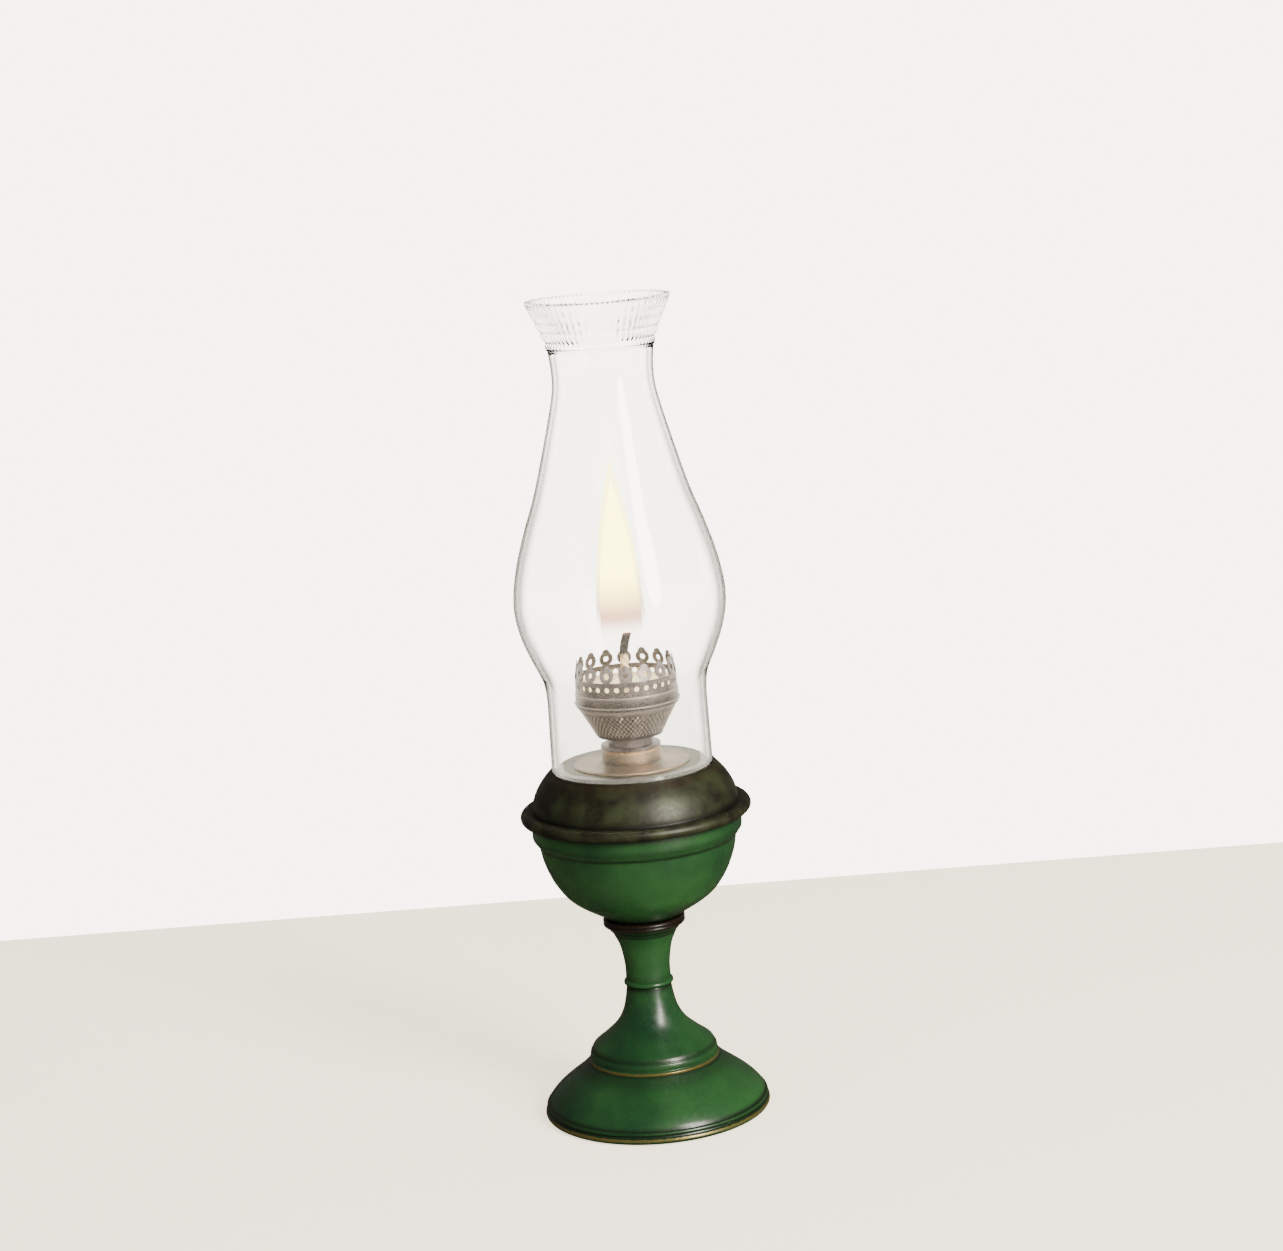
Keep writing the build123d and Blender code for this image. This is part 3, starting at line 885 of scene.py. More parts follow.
@dataclass
class Foot:
    """Spun skirt with a rolled edge, over a cast ballast and a felt.

    Attributes:
        sheet: Thickness of the spun sheet.
        rod_hole: Radius of the hole for the tie rod.
        land: Radius of the flat land under the bell.
        ogee: Outer curve from the land down.
        roll: Small roll above the groove.
        edge: Radius of the rolled edge.
        lining: Inner curve from the rolled edge up.
        land_under: Radius where the lining meets the underside of the land.
    """

    sheet: float = 1.2
    rod_hole: float = 3.15
    land: float = 31.6
    ogee: Stroke = ((36.3, 20.9), (42.5, 16.2), (48.0, 11.7), (51.5, 7.9))
    roll: Stroke = ((52.5, 5.9), (53.3, 5.6), (53.6, 4.9), (53.4, 4.2), (52.9, 3.8))
    edge: float = 1.6
    lining: Stroke = ((50.4, 5.2), (47.0, 10.2), (41.3, 14.9), (34.9, 19.6))
    land_under: float = 30.9

    def skirt(self) -> None:
        """Shape the skirt: land, ogee, a small roll above the groove, and the rolled edge."""
        base, top, outer = base_of("foot_skirt"), top_of("foot_skirt"), reach_of("foot_skirt")
        rise = top - base
        under = rise - self.sheet
        piece = Turned(
            "foot_skirt_spun",
            base,
            joined(
                (self.rod_hole, rise),
                ((self.land, rise), *self.ogee, self.roll[0]),
                self.roll,
                bead((outer - self.edge, self.edge), self.edge, 70, -190),
                (*self.lining, (self.land_under, under)),
                (self.rod_hole, under),
            ),
            sides=192,
            # the ring at the rolled edge is worn paint; the dark rings under that edge, in the groove above
            # it and on the skirt under the bell's lip are painted shade with dirt
            rubs=(
                Rub(outer, base + 2.2, 1.0, wear=0.75),
                Rub(outer - 0.6, base + 0.2, 1.2, dirt_and_shade=1.0),
                Rub(52.9, base + 3.9, 0.8, dirt_and_shade=1.0),
                Rub(self.land + 0.6, top, 2.2, dirt_and_shade=0.8),
                Rub(self.land + 2.0, top - 1.5, 5.0, dirt_and_shade=0.5),
            ),
        ).form()
        fit(piece, "stand", "foot_skirt", Finish.PAINT)

    def build(self) -> None:
        """Make the foot."""
        self.skirt()
        dress("ballast", Finish.IRON)
        dress("base_felt", Finish.FELT)


@dataclass
class Stem:
    """Bell, waist ring, trumpet and the dark collar, clamped by a tie rod.

    Attributes:
        sheet: Thickness of the spun sheet.
        rod_hole: Radius of the hole for the tie rod.
        neck: Radius where bell and trumpet meet the waist ring.
        bell_curve: Outside of the bell from neck to band.
        band: Radius of the bright band.
        band_top: Height of the band's upper edge.
        band_foot: Height of its lower edge.
        bell_lining: Inside of the bell from the mouth up.
        horn: Outside of the trumpet up to its first line.
        between_lines: Outside of the trumpet between its two turned lines.
        above_lines: Outside of the trumpet from the second line up.
        horn_lining: Inside of the trumpet from the lip down.
        spigot: Radius of the collar's spigot.
        bevel: Width of the collar's bevels.
    """

    sheet: float = 1.2
    rod_hole: float = 3.15
    neck: float = 10.8
    bell_curve: Stroke = ((11.8, 29.6), (13.5, 23.6), (17.1, 17.6), (23.6, 11.6), (28.9, 7.4), (29.7, 5.1))
    band: float = 30.4
    band_top: float = 5.1
    band_foot: float = 1.8
    bell_lining: Stroke = ((28.3, 5.0), (22.4, 10.9), (15.9, 16.9), (12.3, 23.0))
    horn: Stroke = ((10.75, 6.2), (11.5, 12.2), (12.7, 17.6), (15.2, 23.2))
    between_lines: Stroke = ((15.3, 23.6), (16.0, 24.4), (16.7, 25.1))
    above_lines: Stroke = ((16.8, 25.5), (17.5, 26.2))
    horn_lining: Stroke = ((13.9, 23.4), (11.2, 17.2), (10.1, 11.6))
    spigot: float = 11.6
    bevel: float = 0.7

    def bell(self) -> None:
        """Shape the bell: lip, bright band and the long concave rise to the neck."""
        base, top, lip = base_of("bell"), top_of("bell"), reach_of("bell")
        rise = top - base
        under, edge = rise - self.sheet, self.band - 0.1
        piece = Turned(
            "stem_bell_spun",
            base,
            joined(
                (self.rod_hole, under),
                (self.rod_hole, rise),
                (self.neck, rise),
                ((self.neck, rise - 0.8), *self.bell_curve),
                ((edge, self.band_top), (self.band + 0.25, 3.5), (edge, self.band_foot)),
                (lip, 1.0),
                (lip, 0.0),
                (self.bell_lining[0][0], 0.0),
                (*self.bell_lining, (9.6, under)),
            ),
            # the ring on the lip is worn paint; the dark rings at the neck and on the step above the band are
            # painted shade with dirt
            rubs=(
                Rub(lip, base + 0.7, 0.9, wear=0.8),
                Rub(self.neck, top, 2.2, dirt_and_shade=0.9),
                Rub(29.4, base + 6.2, 1.3, dirt_and_shade=0.7),
            ),
            corner_dirt_and_shade=0.3,
        ).form()
        fit(piece, "stand", "bell", Finish.PAINT)

    def ring(self) -> None:
        """Shape the round ring at the waist."""
        base, top, outer = base_of("stem_ring"), top_of("stem_ring"), reach_of("stem_ring")
        rise = top - base
        root, cheek = self.neck - 0.2, outer - 0.25
        round_edge = ((root, 0.0), (cheek, 0.7), (outer, rise / 2), (cheek, rise - 0.7), (root, rise))
        piece = Turned(
            "stem_ring_turned",
            base,
            joined((self.rod_hole, 0.0), round_edge, (self.rod_hole, rise)),
            step=0.5,
            rubs=(Rub(outer, base + rise / 2, 0.6, wear=0.35), Rub(self.neck, base, 0.9, dirt_and_shade=1.0)),
        ).form()
        fit(piece, "stand", "stem_ring", Finish.PAINT)

    def trumpet(self) -> None:
        """Shape the trumpet, with two fine turned lines under its lip."""
        base, top, lip = base_of("trumpet"), top_of("trumpet"), reach_of("trumpet")
        rise = top - base
        piece = Turned(
            "stem_trumpet_spun",
            base,
            joined(
                (self.rod_hole, self.sheet),
                (self.rod_hole, 0.0),
                ((self.neck, 0.0), *self.horn),
                self.between_lines,
                (*self.above_lines, (lip, rise)),
                ((lip - self.sheet, rise), *self.horn_lining, (9.5, self.sheet)),
            ),
            step=0.7,
            soften=0.1,
            rubs=(Rub(15.2, base + 23.4, 0.6, dirt_and_shade=1.0), Rub(16.7, base + 25.3, 0.6, dirt_and_shade=1.0)),
        ).form()
        fit(piece, "stand", "trumpet", Finish.PAINT)

    def collar(self) -> None:
        """Shape the dark collar with a groove round its middle and a spigot below."""
        base, top, outer = base_of("bowl_collar"), top_of("bowl_collar"), reach_of("bowl_collar")
        seat, rise = top_of("trumpet") - base, top - base
        middle = (seat + rise) / 2
        piece = Turned(
            "bowl_collar_turned",
            base,
            joined(
                (self.rod_hole, rise),
                (self.rod_hole, 0.0),
                (self.spigot, 0.0),
                (self.spigot, seat),
                (outer - self.bevel, seat),
                (outer, seat + self.bevel),
                ((outer, middle - 0.3), (outer - 0.4, middle), (outer, middle + 0.3)),
                (outer, rise - self.bevel),
                (outer - self.bevel, rise),
            ),
            step=0.6,
        ).form()
        fit(piece, "stand", "bowl_collar", Finish.COLLAR)

    def build(self) -> None:
        """Make the stem."""
        self.bell()
        self.ring()
        self.trumpet()
        self.collar()
        for node in ("tie_rod", "tie_washers", "tie_nuts"):
            dress(node, Finish.STEEL)


@dataclass
class Bowl:
    """Spun bowl that holds the drop-in font, with a stepped band under its rim.

    Attributes:
        sheet: Thickness of the spun sheet.
        rod_hole: Radius of the hole for the tie rod.
        floor: Radius of the flat floor.
        wall: Outside from the floor to the belly.
        cove: Hollow between the belly and the rim band.
        band: Outside of the rim band's lower edge.
        lining: Inside from the band down to the floor.
    """

    sheet: float = 1.2
    rod_hole: float = 3.15
    floor: float = 17.0
    wall: Stroke = (
        (23.5, 4.0),
        (30.2, 8.1),
        (35.3, 12.1),
        (39.3, 17.1),
        (42.7, 23.1),
        (45.6, 31.0),
        (46.9, 37.8),
    )
    cove: Stroke = ((47.2, 38.4), (48.0, 39.3), (49.0, 40.8))
    band: Stroke = ((49.0, 40.8), (49.7, 41.8))
    lining: Stroke = ((45.6, 37.6), (41.6, 23.4), (34.4, 12.9), (29.4, 8.9))

    def build(self) -> None:
        """Make the bowl."""
        base, top, rim = base_of("bowl"), top_of("bowl"), reach_of("bowl")
        rise = top - base
        belly = self.wall[-1]
        piece = Turned(
            "bowl_spun",
            base,
            joined(
                (self.rod_hole, 0.0),
                ((self.floor, 0.0), *self.wall),
                (belly, *self.cove),
                (*self.band, (rim, 43.6), (rim, rise)),
                (rim - self.sheet, rise),
                ((rim - self.sheet, 42.6), *self.lining, (16.6, self.sheet)),
                (self.rod_hole, self.sheet),
            ),
            sides=192,
            step=1.1,
            # the ring on the belly is worn paint; the rim under the lid's flange, the cove and the underside
            # by the collar are darkened: painted shade with dirt
            rubs=(
                Rub(belly[0], base + belly[1], 0.7, wear=0.3),
                Rub(belly[0] + 0.6, base + belly[1] + 1.0, 1.0, dirt_and_shade=0.8),
                Rub(rim, top, 1.8, dirt_and_shade=1.0),
                Rub(self.floor + 1, base + 0.8, 4.0, dirt_and_shade=0.8),
            ),
        ).form()
        fit(piece, "stand", "bowl", Finish.PAINT)


# ---- font ----------------------------------------------------------------------------------------


@dataclass
class Font:
    """Dark lid with a wired flange, which carries the oil tank and the glass.

    Attributes:
        sheet: Thickness of the spun sheet.
        wire: Radius of the wired flange's edge.
        shoulder: Radius where the dome leaves the flange.
        tank_bore: Radius of the bore that takes the tank.
        dome: Outside of the dome.
        lining: Inside of the dome from the seat down.
        seat: Outer radius of the glass's ring seat.
        seat_floor: Height of that seat.
        seat_inner: Inner radius of the seat.
        bore: Radius of the hole for the collar.
        collar_bore: Radius of the collar's bore.
        collar_neck: Outer radius of the collar.
        plate: Top of the collar's plate, from its edge to the neck, above the lid.
    """

    sheet: float = 1.2
    wire: float = 2.7
    shoulder: float = 48.9
    tank_bore: float = 48.25
    dome: Stroke = ((48.7, 8.2), (47.3, 12.7), (45.0, 17.0), (41.9, 21.0))
    lining: Stroke = ((43.4, 16.4), (46.4, 11.0))
    seat: float = 38.5
    seat_floor: float = 23.4
    seat_inner: float = 35.6
    bore: float = 14.05
    collar_bore: float = 11.2
    collar_neck: float = 14.0
    plate: Stroke = ((21.0, 0.8), (16.5, 1.0), (14.0, 1.6))

    def lid(self) -> None:
        """Shape the lid: wired flange, domed shoulder, ring seat for the glass and flat top."""
        base, top, outer = base_of("font_lid"), top_of("font_lid"), reach_of("font_lid")
        rise = top - base
        wire = (outer - self.wire, self.wire)
        under, seat_under = rise - self.sheet, self.seat_floor - self.sheet
        step = self.seat_inner - self.sheet
        piece = Turned(
            "font_lid_spun",
            base,
            joined(
                (self.tank_bore, 0.0),
                bead(wire, self.wire, -90, 90),
                ((self.shoulder, 2 * self.wire), *self.dome, (self.seat + 0.9, 23.6)),
                ((self.seat + 0.9, 23.6), (self.seat + 0.5, 24.3), (self.seat, 24.4)),
                (self.seat, self.seat_floor),
                (self.seat_inner, self.seat_floor),
                (self.seat_inner, rise),
                (self.bore, rise),
                (self.bore, under),
                (step, under),
                (step, seat_under),
                ((37.9, seat_under), *self.lining, (self.tank_bore, 3.2)),
            ),
            sides=192,
            step=1.0,
            # the rings at the flange's edge, by the glass seat and on top are wear; the crease at the
            # shoulder and the underside of the wire are darkened: painted shade with dirt
            rubs=(
                Rub(outer, base + self.wire, 1.2, wear=0.12),
                Rub(self.shoulder, base + 2 * self.wire, 2.0, dirt_and_shade=1.0),
                Rub(wire[0], base, 2.0, dirt_and_shade=1.0),
                Rub(self.seat + 1.5, base + 23.2, 3.0, wear=0.3),
                Rub(24.0, top, 9.0, wear=0.4),
            ),
        ).form()
        fit(piece, "font", "font_lid", Finish.LID)

    def collar(self) -> None:
        """Shape the threaded collar and its flat plate."""
        base, top, edge = base_of("font_collar"), top_of("font_collar"), reach_of("font_collar")
        foot, rise = top_of("font_lid") - base, top - base
        piece = Turned(
            "font_collar_turned",
            base,
            joined(
                (self.collar_bore, 0.0),
                (self.collar_neck, 0.0),
                (self.collar_neck, foot),
                (edge, foot),
                (edge, foot + 0.5),
                ((edge - 0.8, foot + 1.0), *[(radius, foot + height) for radius, height in self.plate]),
                (self.collar_neck, rise),
                (self.collar_bore, rise),
            ),
            step=0.8,
            corner_wear=0.1,
        ).form()
        fit(piece, "font", "font_collar", Finish.PLATE)

    def build(self) -> None:
        """Make the font."""
        self.lid()
        self.collar()
        dress("font_tank", Finish.TIN)


# ---- burner --------------------------------------------------------------------------------------


@dataclass
class Burner:
    """Perforated air basket, beaded gallery and pronged crown round the wick tube.

    Attributes:
        sheet: Thickness of the basket's sheet.
        rows: Rows of air holes.
        columns: Places for holes all round, every other one punched.
        first_row: Height of the lowest holes' lower edge.
        row_height: Spacing of the rows.
        web: Half the width of the metal between holes.
        floor: Radius of the basket's floor.
        waist: Where the wall turns from the floor's flare to the cone.
        cone_top: Height where the cone ends.
        spigot: Radius of the opening in the floor.
        rim_highlight: How strongly a highlight is painted round the punched holes, as pale bare-metal colour.
        ledge: Height of the gallery's ledge, which holds the crown.
        ledge_reach: Inner radius of that ledge.
        bore: Radius of the gallery's bore above the ledge.
        skirt_bore: Radius of its bore below.
        bead: Radius of its round bead.
        band: Outside of the gallery from its rim to the bead.
    """

    sheet: float = 0.6
    rows: int = 8
    columns: int = 112
    first_row: float = 1.5
    row_height: float = 1.35
    web: float = 0.26
    floor: float = 15.6
    waist: Point = (18.9, 6.3)
    cone_top: float = 15.0
    spigot: float = 8.05
    rim_highlight: float = 1.0
    ledge: float = 1.2
    ledge_reach: float = 22.0
    bore: float = 24.05
    skirt_bore: float = 23.85
    bead: float = 0.45
    band: Stroke = ((24.4, 5.0), (24.3, 2.6))

    def cone(self, height: float) -> float:
        """Follow the basket's wall.

        Args:
            height: A height above the basket's base.

        Returns:
            The basket's radius there.
        """
        top = reach_of("air_basket")
        if height < self.waist[1]:
            return self.floor + (self.waist[0] - self.floor) * height / self.waist[1]
        share = (height - self.waist[1]) / (self.cone_top - self.waist[1])
        return self.waist[0] + (top - self.waist[0]) * share

    def basket(self) -> None:
        """Shape the basket and punch its staggered rows of air holes."""
        base, top, outer = base_of("air_basket"), top_of("air_basket"), reach_of("air_basket")
        bpy.ops.object.select_all(action="DESELECT")
        bpy.ops.mesh.primitive_circle_add(
            vertices=self.columns, radius=self.spigot * MM, location=(0, 0, base * MM)
        )
        piece = bpy.context.active_object
        piece.name = piece.data.name = "air_basket_punched"
        bpy.ops.object.transform_apply(location=True, rotation=True, scale=True)
        levels = [self.first_row + self.row_height * i for i in range(self.rows + 1)]
        rings = [(self.floor, 0.0), *[(self.cone(h), h) for h in levels]]
        rings += [(self.cone(self.cone_top), self.cone_top), (outer, top - base)]
        here = (self.spigot, 0.0)
        bpy.ops.object.mode_set(mode="EDIT")
        bpy.ops.mesh.select_mode(type="VERT")
        bpy.ops.mesh.select_all(action="SELECT")
        for ring in rings:
            lift = (0.0, 0.0, (ring[1] - here[1]) * MM)
            bpy.ops.mesh.extrude_region_move(TRANSFORM_OT_translate={"value": lift})
            grow = ring[0] / here[0]
            bpy.ops.transform.resize(value=(grow, grow, 1), center_override=(0, 0, (base + ring[1]) * MM))
            here = ring
        bpy.ops.mesh.select_all(action="SELECT")
        bpy.ops.mesh.normals_make_consistent(inside=False)
        bpy.ops.mesh.select_mode(type="FACE")
        bpy.ops.mesh.select_all(action="DESELECT")
        bpy.ops.object.mode_set(mode="OBJECT")
        for face in piece.data.polygons:
            row = math.floor((face.center.z / MM - base - self.first_row) / self.row_height)
            turn = math.atan2(face.center.y, face.center.x) % math.tau
            column = math.floor(turn / math.tau * self.columns)
            face.select = 0 <= row < self.rows and (row + column) % 2 == 0
        bpy.ops.object.mode_set(mode="EDIT")
        bpy.ops.mesh.inset(thickness=self.web * MM, use_individual=True)
        bpy.ops.mesh.delete(type="FACE")
        bpy.ops.object.mode_set(mode="OBJECT")
        wall = piece.modifiers.new("sheet", "SOLIDIFY")
        wall.thickness = self.sheet * MM
        wall.offset = -1.0
        bpy.ops.object.modifier_apply(modifier=wall.name)
        bpy.ops.object.shade_smooth_by_angle(angle=math.radians(35))
        age(piece, (Rub(self.floor, base, 1.5, dirt_and_shade=0.8), Rub(outer, top - 0.6, 0.8, wear=0.6)))
        # painted highlight: pale rims round every air hole
        self.painted_highlight_rims(piece)
        fit(piece, "burner", "air_basket", Finish.BURNER)

    def painted_highlight_rims(self, piece: bpy.types.Object) -> None:
        """Paint a highlight round the punched holes, written into the wear layer as pale bare metal.

        Args:
            piece: The punched basket, already aged.
        """
        co = places(piece)
        share = (np.arctan2(co[:, 1], co[:, 0]) / math.tau * self.columns) % 1
        wear = np.empty(len(co), np.float32)
        layer = piece.data.attributes["wear"].data
        layer.foreach_get("value", wear)
        # painted highlight on the hole rims
        wear[(share > 0.03) & (share < 0.97)] = self.rim_highlight
        layer.foreach_set("value", wear)

    def gallery(self) -> None:
        """Shape the gallery: a soft band over a round bead and the ledge that holds the crown."""
        base, top, outer = base_of("gallery_band"), top_of("gallery_band"), reach_of("gallery_band")
        rise, shelf, rim = top - base, self.ledge + 0.8, 24.35
        round_bead = bead((outer - self.bead, self.ledge + 0.6), self.bead, 100, -100)
        corners = (
            (self.skirt_bore, 0.0),
            (self.skirt_bore, self.ledge),
            (self.ledge_reach, self.ledge),
            (self.ledge_reach, shelf),
            (self.bore, shelf),
            (self.bore, rise),
            (rim, rise),
        )
        piece = Turned(
            "gallery_band_spun",
            base,
            (
                *zip(corners, corners[1:]),
                ((rim, rise), *self.band),
                round_bead,
                (round_bead[-1], (rim, 0.9), (24.25, 0.0)),
                ((24.25, 0.0), corners[0]),
            ),
            step=0.35,
            soften=0.06,
            rubs=(Rub(outer, base + 1.8, 0.5, wear=0.9),),
        ).form()
        fit(piece, "burner", "gallery_band", Finish.BURNER)

    def build(self) -> None:
        """Make the burner."""
        self.basket()
        self.gallery()
        for node in ("crown", "diffuser_plate", "burner_plug", "wick_tube"):
            dress(node, Finish.BURNER)
        dress("burner_gasket", Finish.CORK)


# ---- wick and flame --------------------------------------------------------------------------------


@dataclass
class Wick:
    """Round braided wick, upright in its tube and bent over where it burns.

    Attributes:
        radius: Its radius.
        strands: Strands that cross all round.
        strand_depth: How deep the grooves between them are.
        twist: Height of one turn of a strand.
        bend_from: Height where it starts to bend.
        lean: How far its tip leans.
        pitch: Spacing of its rings.
        sides: Flats all round.
    """

    radius: float = 2.0
    strands: int = 8
    strand_depth: float = 0.12
    twist: float = 14.0
    bend_from: float = 223.0
    lean: float = 2.2
    pitch: float = 1.2
    sides: int = 32

    def centre(self, height: float) -> float:
        """Sideways place of the wick's middle at a height."""
        share = max(0.0, (height - self.bend_from) / (top_of("wick") - self.bend_from))
        return self.lean * share**2

    def build(self) -> None:
        """Make the wick."""
        base, top = base_of("wick"), top_of("wick")
        bpy.ops.object.select_all(action="DESELECT")
        bpy.ops.mesh.primitive_circle_add(
            vertices=self.sides, radius=self.radius * MM, fill_type="NGON", location=(0, 0, base * MM)
        )
        piece = bpy.context.active_object
        piece.name = piece.data.name = "wick_braided"
        bpy.ops.object.transform_apply(location=True, rotation=True, scale=True)
        bpy.ops.object.mode_set(mode="EDIT")
        bpy.ops.mesh.select_mode(type="FACE")
        bpy.ops.mesh.select_all(action="SELECT")
        count = round((top - base) / self.pitch)
        heights = [base + (top - base) * i / count for i in range(count + 1)]
        for here, after in zip(heights, heights[1:]):
            shift = ((self.centre(after) - self.centre(here)) * MM, 0.0, (after - here) * MM)
            bpy.ops.mesh.extrude_region_move(TRANSFORM_OT_translate={"value": shift})
            if after > self.bend_from + 1:
                grow = 1.03 if round(after / self.pitch) % 3 else 0.96
                middle = (self.centre(after) * MM, 0, after * MM)
                bpy.ops.transform.resize(value=(grow, grow, 1), center_override=middle)
        bpy.ops.mesh.select_all(action="SELECT")
        bpy.ops.mesh.normals_make_consistent(inside=False)
        bpy.ops.object.mode_set(mode="OBJECT")
        self.braid(piece)
        bpy.ops.object.shade_smooth_by_angle(angle=math.radians(50))
        fit(piece, "wick", "wick", Finish.WICK)

    def braid(self, piece: bpy.types.Object) -> None:
        """Press the crossing strands of the braid into the wick's side.

        Args:
            piece: The plain wick.
        """
        co = places(piece)
        middle = np.array([self.centre(h) for h in co[:, 2]])
        turn = np.arctan2(co[:, 1], co[:, 0] - middle)
        phase = math.tau * co[:, 2] / self.twist
        dip = np.minimum(np.cos(self.strands * turn + phase * 4), np.cos(self.strands * turn - phase * 4))
        share = 1 - self.strand_depth / self.radius * (0.5 - 0.5 * dip)
        co[:, 0] = middle + (co[:, 0] - middle) * share
        co[:, 1] *= share
        piece.data.vertices.foreach_set("co", (co * MM).astype(np.float32).ravel())
        piece.data.update()


@dataclass
class Flame:
    """Still teardrop flame: a faint mantle round a bright core, and the glow over the burner.

    It starts far enough above the burner's plate to stay clear of it with the wick turned right down.

    Attributes:
        foot: Height where its colours are counted from.
        start: How far above that the layers start.
        tip: Height of its tip.
        width: Half its greatest width.
        glow_width: Radius of the glow in the crown.
    """

    foot: float = 206.5
    start: float = 7.5
    tip: float = 316.0
    width: float = 11.4
    glow_width: float = 21.0

    def shell(self, name: str, share: float, finish: BurningOil) -> None:
        """Make one layer of the flame.

        Args:
            name: The layer's name.
            share: Its width as a share of the flame's.
            finish: What it is dressed in.
        """
        rise = finish.tip - self.foot
        half = self.width * share
        side = (
            (0.0, self.start),
            (0.8 * half, self.start + 1.0),
            (0.94 * half, self.start + 3.5),
            (half, 0.27 * rise),
            (0.93 * half, 0.45 * rise),
            (0.7 * half, 0.66 * rise),
            (0.36 * half, 0.85 * rise),
            (0.0, rise),
        )
        self.light(Turned(name, self.foot, (side, (side[-1], side[0])), 64, 2.5, soften=0.0), "wick", finish)

    def glow(self, finish: BurningOil) -> None:
        """Make the low glow that fills the crown and shows through its holes.

        Args:
            finish: What it is dressed in.
        """
        rise = finish.tip - finish.base
        half = self.glow_width
        side = ((0.0, 0.0), (half, 0.0), (half, 0.5 * rise), (0.86 * half, 0.85 * rise), (0.0, rise))
        strokes = (side[:2], side[1:], (side[-1], side[0]))
        self.light(Turned("burner_glow", finish.base, strokes, 64, 2.5, soften=0.0), "burner", finish)

    def light(self, shape: Turned, body: str, finish: BurningOil) -> None:
        """Form a glowing layer.

        Args:
            shape: Its outline.
            body: The CAD body that it rides on.
            finish: What it is dressed in.
        """
        piece = shape.form()
        piece.data.materials.clear()
        piece.data.materials.append(finish.build())
        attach(piece, body)
        log.info("%s: flame layer", piece.name)

    def build(self) -> None:
        """Make the flame."""
        mantle = BurningOil("paraffin_flame_mantle", self.foot, self.tip, 8.0, (0.0, 0.5), (0.265, 0.38))
        core = BurningOil("paraffin_flame_core", self.foot, self.tip - 9, 14.0, (0.0, 0.9), (0.265, 0.37))
        low = BurningOil(
            "paraffin_flame_glow", 203.6, 215.5, 5.0, (0.6, 0.0), (0.3, 1.0), low="#fff0b4", high="#ffdca0"
        )
        self.shell("flame_mantle", 1.0, mantle)
        self.shell("flame_core", 0.86, core)
        self.glow(low)


# ---- glass ---------------------------------------------------------------------------------------


